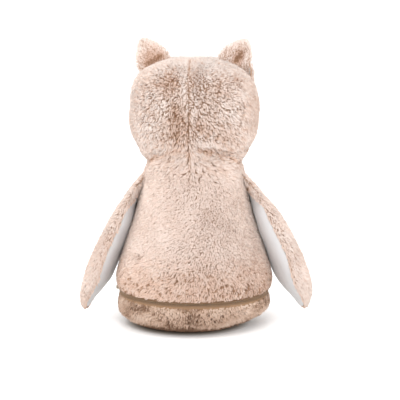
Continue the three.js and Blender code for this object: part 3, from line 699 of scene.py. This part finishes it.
def neck_look(points):
    """The body's pile, and above the crease the head's."""
    height = above_crease(points)
    above = smooth(height, -4, 8)
    crease = bell(height, 3.0) * (points[:, 1] > 0)
    crease = crease * (1 - bell(points[:, 0] - BACK_SEAM_X, 14)) * (0.8 + 0.7 * signed(points, 8, 47))
    below_look, above_look = body_look(points), head_look(points)
    shared = [key for key in above_look if key not in ("clump", "stretch", "longways")]
    look = {key: below_look[key] * (1 - above) + above_look[key] * above for key in shared}
    # painted shade in the crease under the head
    look["tone"] = look["tone"] - 0.55 * crease
    look["length"] = look["length"] - 2.2 * crease
    look["clump"], look["stretch"] = 3.4, 1.4
    return look


# Squeezes places so that the base's patches lie along it as streaks
STREAKED = (0.5, 0.5, 1.5)


def base_look(points):
    """Deep brown in streaks, shorter towards the floor, and darkened towards it with painted shade."""
    z = points[:, 2]
    patch = signed(points * STREAKED, 18, 25) + 0.6 * signed(points * STREAKED, 7, 26)
    under = smooth(z, 12, 4)
    return dict(
        length=6.6 - 3.6 * under, lean=0.6 + 0.1 * patch + 0.3 * under, gather=0.55,
        clump=2.4, stretch=1.5, longways=(1, 0, 0.15), width=1.05, sway=1.1, shade=0.35,
        # the smooth(z, 17, 5) term is painted shade where the base curves under towards the floor
        tone=0.37 + 0.3 * patch * smooth(z, 4, 16) - 1.2 * smooth(z, 17, 5),
        lowest=0.2)


def tummy_look(points):
    patch = signed(points, 16, 55)
    return dict(
        length=4.0 + 0.3 * patch, lean=0.6 + 0.1 * patch, gather=0.6, clump=2.8, width=1.3,
        sway=0.7, shade=0.3, tone=0.6 + 0.1 * patch)


def wing_look(points, border):
    """Shorter and browner along the seam with the lining, with painted shade in the hollow at the root of one
    wing and a little over the left wing.
    """
    patch = signed(points, 20, 35) + 0.5 * signed(points, 8, 36)
    x, y, z = points.T
    # painted shade in the hollow where the right wing's root meets the body
    root = np.exp(-((x + 74) ** 2 + (z - 191) ** 2) / 12) * (y > 0)
    near = bell(np.min([np.linalg.norm(points - place, axis=1) for place in border], axis=0), 3.6)
    # the left wing (x > 0) is a little darker: painted shade
    return dict(
        length=6.8 - 2.5 * near, lean=0.62 + 0.1 * patch, gather=0.35, clump=2.4, width=1.0,
        sway=0.4, shade=0.2, tone=0.7 + 0.08 * patch - 0.06 * (x > 0) - 0.8 * root - 0.6 * near)


def ear_look(points):
    """Painted shade along the crease where the left ear joins the head and in the hollow of the folded right
    ear, and a darker spot low on the left ear.
    """
    patch = signed(points, 12, 45)
    is_left = points[:, 0] > 0
    across, along = ear_place(points)
    # crease and the right ear's hollow are painted shade
    crease = bell(along, 4.5) * smooth(across, -17, -6) * smooth(across, 21, 12) * is_left
    spot = np.where(is_left, 0.45 * bell(across - 1, 9) * bell(along - 9, 5),
                    bell(across + 1, 6) * bell(along - 6, 12))
    hollow = spot * (1 + 0.4 * signed(points, 3, 46))
    return dict(
        length=4.7, lean=0.58 + 0.08 * patch, gather=0.35, clump=2.3, width=1.0, sway=0.5,
        shade=0.35, tone=0.74 + 0.1 * ~is_left + 0.06 * patch - 0.75 * crease - 1.1 * hollow)


def piled(name, skin, normals, density, grain, look, material, salt, keep=None):
    roots, facing = scatter(skin, normals, density, keep)
    way = swirled(grain(roots, facing), roots, facing, salt)
    return strands(f"{name}_pile", roots, facing, way, look(roots), material)


def dressed(name, grid, bodies, nodes, look, normals=None, depth=PILE_DEPTH, grain=down_grain,
            cloths=(PLUSH, BACKING, "plush"), keep=None):
    """A plush panel: backing cloth under the pile, and the pile as a piece of its own.

    cloths gives the pile's material, the backing's, and a finish, which is not used. A panel on two bodies is
    left in place, on neither.
    """
    pile_of, backing_of, finish = cloths
    normals = grid_normals(grid) if normals is None else normals
    skin_points = grid - normals * np.asarray(depth)[..., None]
    skin = cloth(f"{name}_cloth", skin_points, BACKING_WALL, normals, backing_of)
    pile = piled(name, skin_points, normals, DENSITY, grain, look, pile_of, 41, keep)
    if nodes:
        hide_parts(*nodes)
    for piece in (skin, pile):
        if len(bodies) == 1:
            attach(piece, bodies[0])
        else:
            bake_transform(piece)


# Middle and half height of where the wings rest against the body
WING_REST_Z, WING_REST_HIGH = 166, 34


def tucked(grid):
    """How deep the backing lies: deeper below the jaw and beside the wings, and uneven."""
    x, y, z = np.moveaxis(grid, -1, 0)
    uneven = 0.8 * signed(grid, 34, 81)
    side = smooth(np.abs(x) / body_radius(z), 0.7, 1.0)
    above = above_crease(grid)
    crease = (3.0 * bell(above, 4.5) - 1.6 * bell(above - 11, 6)) * smooth(y, 0, 20)
    crease = crease * (1 - 0.8 * bell(x - BACK_SEAM_X, 12))
    return (PILE_DEPTH + uneven + 0.5 * smooth(z, 240, 260) + 3.6 * bell(z - 240, 15)
            + 3.0 * side * bell(z - WING_REST_Z, WING_REST_HIGH) + crease)


# Back cover and tummy, from the upper rim to the neck
covers = panels(UPPER_RIM, NECK_LOW, SIDE_SEAM_Y)
for side in SIDES:
    grid = covers[side]
    dressed(f"back_{side}", grid, ["body"], [f"body_back_{side}"], body_look, depth=tucked(grid))

# The tummy is smooth and white
grid = covers["front"]
normals = grid_normals(grid)
skin = grid - normals * (4.8 + 0.7 * signed(grid, 38, 83))[..., None]
clothed("tummy", skin, "body", ["tummy_panel"], WHITE, 1.2, normals)
pile = piled("tummy", skin, normals, WHITE_DENSITY, down_grain, tummy_look, WHITE_PILE, 42)
settle(pile, "body")

# Neck, between the body and the head
z, share = row_places(NECK_LOW, NECK_HIGH)
quarter = np.full(len(z), pi / 2)
grid = panel(z, share, -quarter, 3 * quarter)
dressed("neck", grid, ["body", "head"], [], neck_look, depth=tucked(grid))


# Head, from the neck to the crown

def head_normals(grid):
    """Normals of the head, exact above its widest ring."""
    x, y, z = np.moveaxis(grid, -1, 0)
    flat = np.abs(x / HEAD_WIDE) ** PLAN_POWER + np.abs(y / HEAD_DEEP) ** PLAN_POWER
    side = CROWN_POWER * np.maximum(flat, 1e-9) ** (CROWN_POWER / PLAN_POWER - 1)

    def outward(v, half):
        return side * np.sign(v) * np.abs(v / half) ** (PLAN_POWER - 1) / half

    up = CROWN_POWER * np.maximum(z - HEAD_Z, 0) ** (CROWN_POWER - 1) / CROWN**CROWN_POWER
    slope = xyz(outward(x, HEAD_WIDE), outward(y, HEAD_DEEP), up)
    t = smooth(z, HEAD_Z, HEAD_Z + 12)[..., None]
    return unit(grid_normals(grid) * (1 - t) + unit(slope) * t)


DISC_R, DISC_X, DISC_Z = 27, 28.5, 291


def off_discs(points):
    gap = np.hypot(np.abs(points[:, 0]) - DISC_X, points[:, 2] - DISC_Z)
    return (gap > DISC_R - 0.5) | (points[:, 1] > 0)


covers = panels(NECK_HIGH, HEAD_Z + CROWN, FACE_SEAM_Y)
for side in SIDES:
    grid = covers[side]
    dressed(f"head_{side}", grid, ["head"], [f"head_back_{side}"], head_look, head_normals(grid),
            tucked(grid))
grid = covers["front"]
dressed("face", grid, ["head"], ["face_panel"], head_look, head_normals(grid), tucked(grid), keep=off_discs)


# Base: two halves that meet along the fold, each a half sole and a half wall

ZIP_R = 103
FOLD_ANGLE = asin(FOLD_Y / ZIP_R)
SOLE_R = body_radius(0.0)


def base_grid(is_back):
    """From the fold out over the sole and up the wall, and the angle of each column."""
    start, end = FOLD_ANGLE, pi - FOLD_ANGLE
    if not is_back:
        start, end = end, 2 * pi + start
    angle = np.linspace(start, end, int((end - start) * ABOUT_R / STEP))
    c, s = np.cos(angle), np.sin(angle)
    rim = np.where(is_back | (s * body_radius(LOWER_RIM) > ZIP_END), LOWER_RIM, UPPER_RIM - 0.3)
    out = np.linspace(0, 1, 20, endpoint=False)[:, None]
    floor = xyz(SOLE_R * c, FOLD_Y * (1 - out) + SOLE_R * s * out, 0)
    up = np.linspace(0, 1, 18)[:, None] * rim[None, :]
    grid = np.concatenate([floor, owl_point(angle[None, :], up)])
    x = grid[..., 0]
    drawn_in = 0.16 + 0.06 * smooth(x, 70, -20) + 0.08 * smooth(x, -30, -80)
    slack = 1 - drawn_in * smooth(grid[..., 2], 25 + 9 * smooth(x, 0, -80), 0) ** 1.3
    grid[..., :2] *= slack[..., None]
    grid[..., 1] = np.maximum(grid[..., 1], FOLD_Y) if is_back else np.minimum(grid[..., 1], FOLD_Y - 0.2)
    return grid, angle


def base_normals(grid, angle):
    """Down under the sole, and out of the wall."""
    z = grid[..., 2]
    out = xyz(np.cos(angle), np.sin(angle), 0 * z)
    rise = smooth(body_radius(z), SOLE_R, body_radius(26.0))[..., None] * (z[..., None] > 0)
    down = np.array([0.0, 0.0, -1.0])
    slope = unit(out * (0.35 + 0.65 * rise) + down * (1 - rise) ** 1.2)
    return np.where(z[..., None] > 0, slope, down)


def down_base(points, normals):
    return along_surface(xyz(-normals[:, 0], -normals[:, 1], -1.4), normals)


def thin_below(points):
    """The sole, which the owl sits on, carries only every third strand."""
    return (points[:, 2] > 3) | (np.arange(len(points)) % 3 == 0)


for name, body in (("base_back", "base_flap"), ("base_front", "body")):
    grid, angle = base_grid(name == "base_back")
    normals = base_normals(grid, angle)
    depth = np.where(grid[..., 2] > 0, PILE_DEPTH - 1.5 * smooth(grid[..., 2], 12, 0), 1.8)
    dressed(name, grid[:, ::-1], [body], [name], base_look, normals[:, ::-1], depth[:, ::-1], down_base,
            (BASE_PLUSH, BASE_BACKING, "base_plush"), thin_below)


# Zip

TAPE_HIDDEN, COIL_SPLIT, TAPE_WALL = 9, 1.8, 0.8
FLAP_EDGE = FOLD_Y + 0.2


def band(radius, low, high, start_y):
    """A strip of the zip's ring behind start_y."""
    start = asin(start_y / radius)
    angle = np.linspace(start, pi - start, int((pi - 2 * start) * radius / 1.5))
    z = np.linspace(high, low, max(int((high - low) / 1.3), 3))[:, None]
    return xyz(radius * np.cos(angle), radius * np.sin(angle), z)


for name, low, high, start_y, body in (
        ("zip_tape_upper", ZIP_Z + COIL_SPLIT / 2, UPPER_RIM + TAPE_HIDDEN, ZIP_END + 0.1, "body"),
        ("zip_tape_lower", LOWER_RIM - TAPE_HIDDEN, ZIP_Z - COIL_SPLIT / 2, FLAP_EDGE, "base_flap")):
    clothed(name + "_cloth", band(TAPE_R, low, high, start_y), body, [name], TAPE, TAPE_WALL)

# One loop of the coil: outwards, and away from the zip's middle
LOOP = np.array([(0.85, 2.75), (-0.8, 2.3), (-0.8, 0.3), (-0.1, -0.25), (0.75, 0.1), (0.85, 2.75)])
PITCH, WIRE_HALF_WIDE, WIRE_HALF_THICK = 1.25, 0.27, 0.18


def coil(name, sign, start_y, body):
    """Close-set loops of the zip's coil; those of the two coils take turns."""
    radius = (COIL_IN + COIL_OUT) / 2
    start = asin(start_y / COIL_OUT)
    count = int((pi - 2 * start) * radius / PITCH)
    angle = start + (np.arange(count) + (0.25 if sign > 0 else 0.75)) * PITCH / radius
    angle = angle[angle < pi - start]
    c, s = np.cos(angle)[:, None, None], np.sin(angle)[:, None, None]
    beside = np.array([-1, 1, 1, -1]) * WIRE_HALF_WIDE
    r = radius + LOOP[:, :1] + np.array([-1, -1, 1, 1]) * WIRE_HALF_THICK
    z = ZIP_Z + sign * LOOP[:, 1:]
    points = xyz(r * c - beside * s, r * s + beside * c, z)
    quads = grid_quads(len(LOOP), 4, True) + (np.arange(len(angle)) * len(LOOP) * 4)[:, None, None]
    piece = mesh_object(name + "_loops", points.reshape(-1, 3), [quads.reshape(-1, 4)], COIL)
    settle(piece, body, [name])


coil("zip_coil_upper", 1, ZIP_END + 2.7, "body")
coil("zip_coil_lower", -1, FLAP_EDGE, "base_flap")
paint(METAL, "zip_slider", "zip_puller", "zip_stop_left", "zip_stop_right")


# Wings

WING_ROOT = np.array([76.0, 0, 197])

# How far down the wing, half width, and the lining's and the plush side's height
WING_STATIONS = np.array([
    (-16, 8, -14, -10), (-8, 17, -13, -6), (4, 22.5, -10.5, -1), (17, 26, -8, 4), (36, 29.5, -6, 9.6),
    (64, 34.85, -6, 14.4), (96, 38.95, -6, 17.3), (132, 41, -6, 18), (160, 36.9, -6, 16.8),
    (180, 29.5, -6, 13.5), (191, 22.5, -6, 9.5), (197, 15, -5.5, 5.5), (199.5, 8, -4.5, 2),
    (200.5, 0.6, -2.4, -2)])

WING_POWER = 2.6

# Each wing's opening, share of the length, thickness, and its lining's swelling, start and share of the
# width
WINGS = {
    "left": (radians(0.8), 0.955, 1.0, 12, 8, 0.975),
    "right": (radians(1.5), 0.94, 1.25, 13, 2, 0.985)}


def laid(way):
    """Pile that lies one way all over a panel."""
    return lambda points, normals: along_surface(np.broadcast_to(way, points.shape), normals)


def wing_axes(side):
    """The wing's root, and its ways down, to its rear edge and out of its plush side."""
    s, t, spread = SIDES[side], TURN[side], SPREAD + WINGS[side][0]
    down = np.array([s * sin(spread), 0, -cos(spread)])
    out = np.array([s * cos(spread), 0, sin(spread)])
    back = np.array([0, 1, 0])
    rear = back * cos(t) + out * sin(t)
    return WING_ROOT * [s, 1, 1], down, rear, out * cos(t) - back * sin(t)


def wing_grid(side, is_lining, spacing):
    """The wing's plush side, or its lining, a leaf inside the edge; and how deep the backing lies."""
    _, cut, puff, swell, lining_start, share = WINGS[side]
    along, half, bottom, top = stations_along(WING_STATIONS, 12, spacing)
    along = along * np.where(along > 0, cut, 1)
    if is_lining:
        kept = along[:, 0] > lining_start
        along, half, bottom, top = along[kept], half[kept], bottom[kept], top[kept]
    leaf = share * smooth(along, lining_start - 1, lining_start + 34) ** 0.6
    leaf = leaf * (1 - 0.14 * smooth(along, 105, 178))
    seam = -np.arccos(np.clip(leaf, 0.001, 1) ** (WING_POWER / 2))
    top = bottom + (top - bottom) * (1 + (puff - 1) * smooth(along, 0, 60))
    bottom = bottom - swell * smooth(along, -4, 66) * smooth(along, 190, 135)
    t = np.linspace(0, 1, 40)[None, :]
    start, end = (-pi - seam, seam) if is_lining else (seam, pi - seam)
    turn = start * (1 - t) + end * t
    y = half * squarer(np.cos(turn), WING_POWER)
    z = (bottom + top) / 2 + (top - bottom) / 2 * squarer(np.sin(turn), WING_POWER)
    origin, down, rear, face = wing_axes(side)
    grid = origin + along[..., None] * down + y[..., None] * rear + z[..., None] * face
    radius = np.hypot(grid[..., 0], grid[..., 1])
    skin = body_radius(grid[..., 2]) - 2.5 * bell(grid[..., 2] - WING_REST_Z, WING_REST_HIGH)
    near = np.maximum(skin - 1.2 - radius, 0) * smooth(grid[..., 2], 192, 168)
    grid[..., :2] *= (1 + near / radius)[..., None]
    from_edge = np.minimum(t, 1 - t) * (end - start)
    depth = np.minimum(PILE_DEPTH, 0.34 * (top - bottom)) * smooth(from_edge, -0.5, 0.5)
    return (grid[:, ::-1] if side == "right" else grid), depth


for side in SIDES:
    _, down, rear, _ = wing_axes(side)
    grid, depth = wing_grid(side, False, STEP)
    look = partial(wing_look, border=grid[:, [0, -1]].reshape(-1, 3))
    dressed(f"wing_{side}", grid, [f"wing_{side}"], [f"wing_cover_{side}", f"wing_fill_{side}"], look,
            depth=depth, grain=laid(down + 0.25 * rear))
    grid, _ = wing_grid(side, True, 2.0)
    normals = grid_normals(grid)
    pucker = 1.2 + 0.5 * signed(grid, 14, 61)
    clothed(f"wing_lining_{side}_cloth", grid - normals * pucker[..., None], f"wing_{side}",
            [f"wing_lining_{side}"], WHITE, 1.0, normals)


# Ears

# How far above the ear's root, half width, and thickness behind
EAR_STATIONS = np.array([
    (-13, 21, 3), (-6, 23, 5.5), (0, 24, 6), (7, 22.5, 6), (15, 19, 6), (22, 14, 5.6), (28, 9, 4.8),
    (31.5, 5, 3.2), (33, 1.5, 1.2)])

EAR_CUP, EAR_FRONT, EAR_POWER = 7, 2.8, 2.3


def ear_axes(side):
    """The ear's ways inwards along its root, and up."""
    s = SIDES[side]
    inward = np.array([-s * cos(EAR_TILT), 0, sin(EAR_TILT)])
    return inward, np.array([s * sin(EAR_TILT), 0, cos(EAR_TILT)])


def ear_grid(side, start, end, inset=0.0):
    """The ear's plush side or its lining, cupped to the front; one ear's outer corner is folded in."""
    along, half, thick = stations_along(EAR_STATIONS, 10, count=30)
    half = np.maximum(half - inset, 0.5)
    turn = np.linspace(start, end, 26)[None, :]
    across, behind = squarer(np.cos(turn), EAR_POWER), squarer(np.sin(turn), EAR_POWER)
    y = behind * np.where(behind > 0, thick, EAR_FRONT) - EAR_CUP * smooth(along, 0, 36) * across**2
    if side == "right":
        folded = smooth(-across, 0.3, 1.0)
        y = y + 7 * folded * smooth(along, -8, 6) * smooth(along, 36, 24)
        y = y - 2.2 * bell(half * across + 3, 8) * bell(along - 8, 10)
        rim = 1.0 if behind.max() > 0.5 else 0.6
        across = across * (1 + rim * folded * (0.27 * smooth(along, 14, -4) + 0.42 * smooth(along, -1, -13)))
    inward, rise = ear_axes(side)
    grid = (EAR_ROOT * [SIDES[side], 1, 1] + (half * across)[..., None] * inward
            + (along + 0 * turn)[..., None] * rise + y[..., None] * np.array([0, 1, 0]))
    return grid[:, ::-1] if side == "right" else grid


for side in SIDES:
    dressed(f"ear_{side}", ear_grid(side, pi + 0.2, -0.2), [f"ear_{side}"], [f"ear_back_{side}"],
            ear_look, depth=3.2, grain=laid(ear_axes(side)[1]))
    clothed(f"ear_lining_{side}_cloth", ear_grid(side, -0.2, -pi + 0.2, 2.0), f"ear_{side}",
            [f"ear_lining_{side}"], WHITE, 1.0)


# Face: discs, eyes, beak, and the feet

DISC_FRONT, DISC_BACK = 2.0, 1.5


def head_depth(x, z):
    """How far in front of the middle the head's surface lies."""
    share = head_share(z)
    near = np.maximum(1 - np.abs(x / (HEAD_WIDE * share)) ** PLAN_POWER, 0)
    return HEAD_DEEP * share * near ** (1 / PLAN_POWER)


for side, sign in SIDES.items():
    ring = np.concatenate([np.linspace(0.02, 0.92, 12), [0.96, 0.985, 1.0]])[:, None]
    turn = np.linspace(0, 2 * pi, 61)[None, :-1]
    x = sign * DISC_X + DISC_R * ring * np.cos(turn)
    z = DISC_Z + DISC_R * ring * np.sin(turn)
    lift = DISC_FRONT * np.sqrt(np.maximum(1 - ((ring - 0.9).clip(0) / 0.1) ** 2, 0))
    depth = head_depth(x, z)
    outer, inner = xyz(x, -depth - lift, z), xyz(x, -depth + DISC_BACK, z)[::-1]
    centre = head_depth(np.array(sign * DISC_X), np.array(float(DISC_Z)))
    poles = [(sign * DISC_X, y, DISC_Z) for y in (-centre - DISC_FRONT, -centre + DISC_BACK)]
    disc = closed_form(f"face_disc_{side}_cloth", np.concatenate([outer, inner])[:, ::-1], poles, WHITE)
    settle(disc, "head", [f"face_disc_{side}"])
    paint(GLOSSY, f"eye_{side}")
    paint(WASHER, f"eye_washer_{side}")


def stuffed(node, centre, halves, body, shape, power=2.0):
    """A stuffed felt form: a ball, squarer as power rises above 2, bent by shape."""
    rise = np.linspace(pi / 2, -pi / 2, 34)[1:-1][:, None]
    turn = np.linspace(0, 2 * pi, 49)[None, :-1]
    ring = squarer(np.cos(rise), power)
    x = halves[0] * ring * squarer(np.cos(turn), power)
    y = halves[1] * ring * squarer(np.sin(turn), power)
    rings = shape(xyz(x, y, halves[2] * squarer(np.sin(rise), power))) + centre
    ends = shape(np.array([(0, 0, halves[2]), (0, 0, -halves[2])], float)) + centre
    settle(closed_form(f"{node}_felt", rings[:, ::-1], ends, FELT), body, [node])


def beak_shape(p):
    """Narrower below, and its tip droops."""
    q = p.copy()
    q[..., 0] *= 1 - 0.35 * smooth(-p[..., 2], -15, 15)
    q[..., 2] -= 3.75 * np.clip(-p[..., 1] / 17, 0, 1)
    return q


def foot_shape(p):
    """Two seams part the toes, and the underside is flat."""
    q = p.copy()
    for place in (-8.5, 8.5):
        seam = smooth(-p[..., 1], 6, 28) * bell(p[..., 0] - place, 2.2)
        q[..., 1] += 3.0 * seam
        q[..., 2] -= 1.5 * seam * np.sign(p[..., 2]).clip(0)
    q[..., 2] = np.maximum(q[..., 2], -11.2)
    return q


stuffed("beak", np.array([0, -75.0, 268]), (10, 17, 15), "head", beak_shape)
for side, sign in SIDES.items():
    stuffed(f"foot_{side}", np.array([sign * 35, -96.0, 11.5]), (24.6, 32.6, 11.8), "body", foot_shape, 2.3)


# Pods: the stuffed bags inside the cover and the head

NOD_Z = 200
NECK_BALL, HEAD_HOLLOW = 66.3, 71.0
POD_INSET, HEAD_R = 13.0, 84
turn = np.linspace(0, 2 * pi, 121)[None, :-1]


def pod(name, rings, poles, body):
    """A stuffed bag, with shallow wrinkles and dents."""
    flat = rings.reshape(-1, 3)
    dent = 1.1 + 0.9 * signed(flat, 26, 71) + 0.5 * signed(flat * [1, 1, 0.4], 9, 72)
    flat = flat - unit(flat * [1, 1, 0]) * dent[:, None]
    piece = closed_form(name + "_bag", flat.reshape(rings.shape)[:, ::-1], poles, BAG)
    settle(piece, body, [name])


def ball(radii, radius):
    """Rings over a ball about the place where the head nods."""
    return xyz(radii * np.cos(turn), NECK_DEPTH * radii * np.sin(turn), NOD_Z + np.sqrt(radius**2 - radii**2))


z = np.linspace(UPPER_RIM - 40, 214, 60)[:, None]
sides = owl_point(turn, z, np.zeros((60, 1)))
sides = sides - unit(sides * [1, 1, 0]) * (POD_INSET + 16 * smooth(z, 26, 8))[..., None]
top_down = np.concatenate([ball(np.linspace(50, 3, 12)[::-1, None], NECK_BALL), sides[::-1]])
pod("body_pod", top_down, [(0, 0, NOD_Z + NECK_BALL), (0, 0, 9.5)], "body")

z, share = row_places(236, HEAD_Z + CROWN, 4.0)
rows = owl_point(turn, z[:, None], share[:, None])
rows = rows + (np.array([0, 0, HEAD_Z]) - rows) * POD_INSET / HEAD_R
top_down = np.concatenate([rows[::-1][1:], ball(np.linspace(58, 3, 12)[:, None], HEAD_HOLLOW)])
pod("head_pod", top_down, [rows[-1, 0] * [0, 0, 1], (0, 0, NOD_Z + HEAD_HOLLOW)], "head")


# Floor, light and camera, in metres

FLOOR_WHITE = (0.9, 0.9, 0.9)

# Each lamp's place and power
LAMPS = {
    "key": ((0.3, 1.7, 2.2), 26), "left": ((2.1, 0.3, 0.9), 11.6), "right": ((-2.1, 0.3, 0.9), 12.5),
    "front": ((0.4, -2.4, 1.5), 11)}

LAMP_SIZE, LIT_PLACE = 1.6, Vector((0, 0, 0.18))


def painted_floor_shadow(tree, radii, centre, stops):
    """Painted shadow round a spot on the floor: colours from 0 at its edge to 1 in its middle."""
    wide, deep = radii
    spot = placed(tree, "Mapping", Location=(-centre[0] / wide, -centre[1] / deep, 0),
                  Scale=(1 / wide, 1 / deep, 1))
    gradient = new_node(tree, "TexGradient", Vector=spot.outputs["Vector"])
    gradient.gradient_type = "SPHERICAL"
    return ramp(tree, gradient.outputs["Color"], stops)


def aimed(name, data, place, way):
    """A lamp or camera at a place, looking along way."""
    obj = link_object(name, data)
    obj.location = place
    obj.rotation_mode = "QUATERNION"
    obj.rotation_quaternion = way.to_track_quat("-Z", "Y")
    return obj


def studio():
    """An even sky, four lamps, and a floor with painted shadows that darken it towards the owl."""
    world = bpy.data.worlds.new("studio")
    bpy.context.scene.world = world
    world.use_nodes = True
    wire(world.node_tree.nodes["Background"], Color=(1, 1, 1), Strength=1.05)
    corners = [(-6000, -6000, -0.3), (6000, -6000, -0.3), (6000, 6000, -0.3), (-6000, 6000, -0.3)]
    material, shader = principled("floor_white", FLOOR_WHITE, 0.6, Emission_Strength=0.25)
    floor = mesh_object("floor", corners, [[[0, 1, 2, 3]]], material)
    tree = material.node_tree
    # painted shadow where the owl meets the floor
    contact_shadow = painted_floor_shadow(tree, (0.102, 0.099), (0.009, 0), [
        (0.0, (1, 1, 1)), (0.16, (0.9, 0.89, 0.88)), (0.28, (0.35, 0.3, 0.26)), (0.36, (0.08, 0.06, 0.045))])
    # a faint, wide painted shadow round the owl, further towards its front
    wide = painted_floor_shadow(tree, (0.14, 0.1), (0, -0.042), [(0.07, (1, 1, 1)), (0.3, (0.8, 0.785, 0.775))])
    tone = mixed_color(tree, 1.0, contact_shadow, wide, "MULTIPLY")
    # the painted shadows darken both the floor's colour and its glow
    wire(shader, Base_Color=mixed_color(tree, 1.0, tone, FLOOR_WHITE, "MULTIPLY"), Emission_Color=tone)
    floor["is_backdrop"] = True
    for name, (place, power) in LAMPS.items():
        light = bpy.data.lights.new(name, "AREA")
        light.energy = power
        light.size = LAMP_SIZE
        aimed(name, light, place, LIT_PLACE - Vector(place))


# The camera's distance and angles, and its focal length and shift in pixels of a picture's side
DISTANCE, ELEVATION, AZIMUTH = 3.0, radians(10.01), radians(-2.71)
FOCAL, SHIFT_X, SHIFT_Y, PICTURE_SIDE, SENSOR = 2220.8, 5.9, -15.6, 400, 36
LOOKED_AT = Vector((0, 0, 0.19))


def camera():
    data = bpy.data.cameras.new("camera")
    data.sensor_width = SENSOR
    data.lens = FOCAL * SENSOR / PICTURE_SIDE
    data.clip_start, data.clip_end = 0.1, 50
    data.shift_x, data.shift_y = SHIFT_X / PICTURE_SIDE, SHIFT_Y / PICTURE_SIDE
    flat = cos(ELEVATION)
    away = Vector((sin(AZIMUTH) * flat, cos(AZIMUTH) * flat, sin(ELEVATION)))
    bpy.context.scene.camera = aimed("camera", data, LOOKED_AT + away * DISTANCE, -away)


studio()
camera()
bpy.context.scene.view_settings.view_transform = "Standard"

low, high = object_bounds()
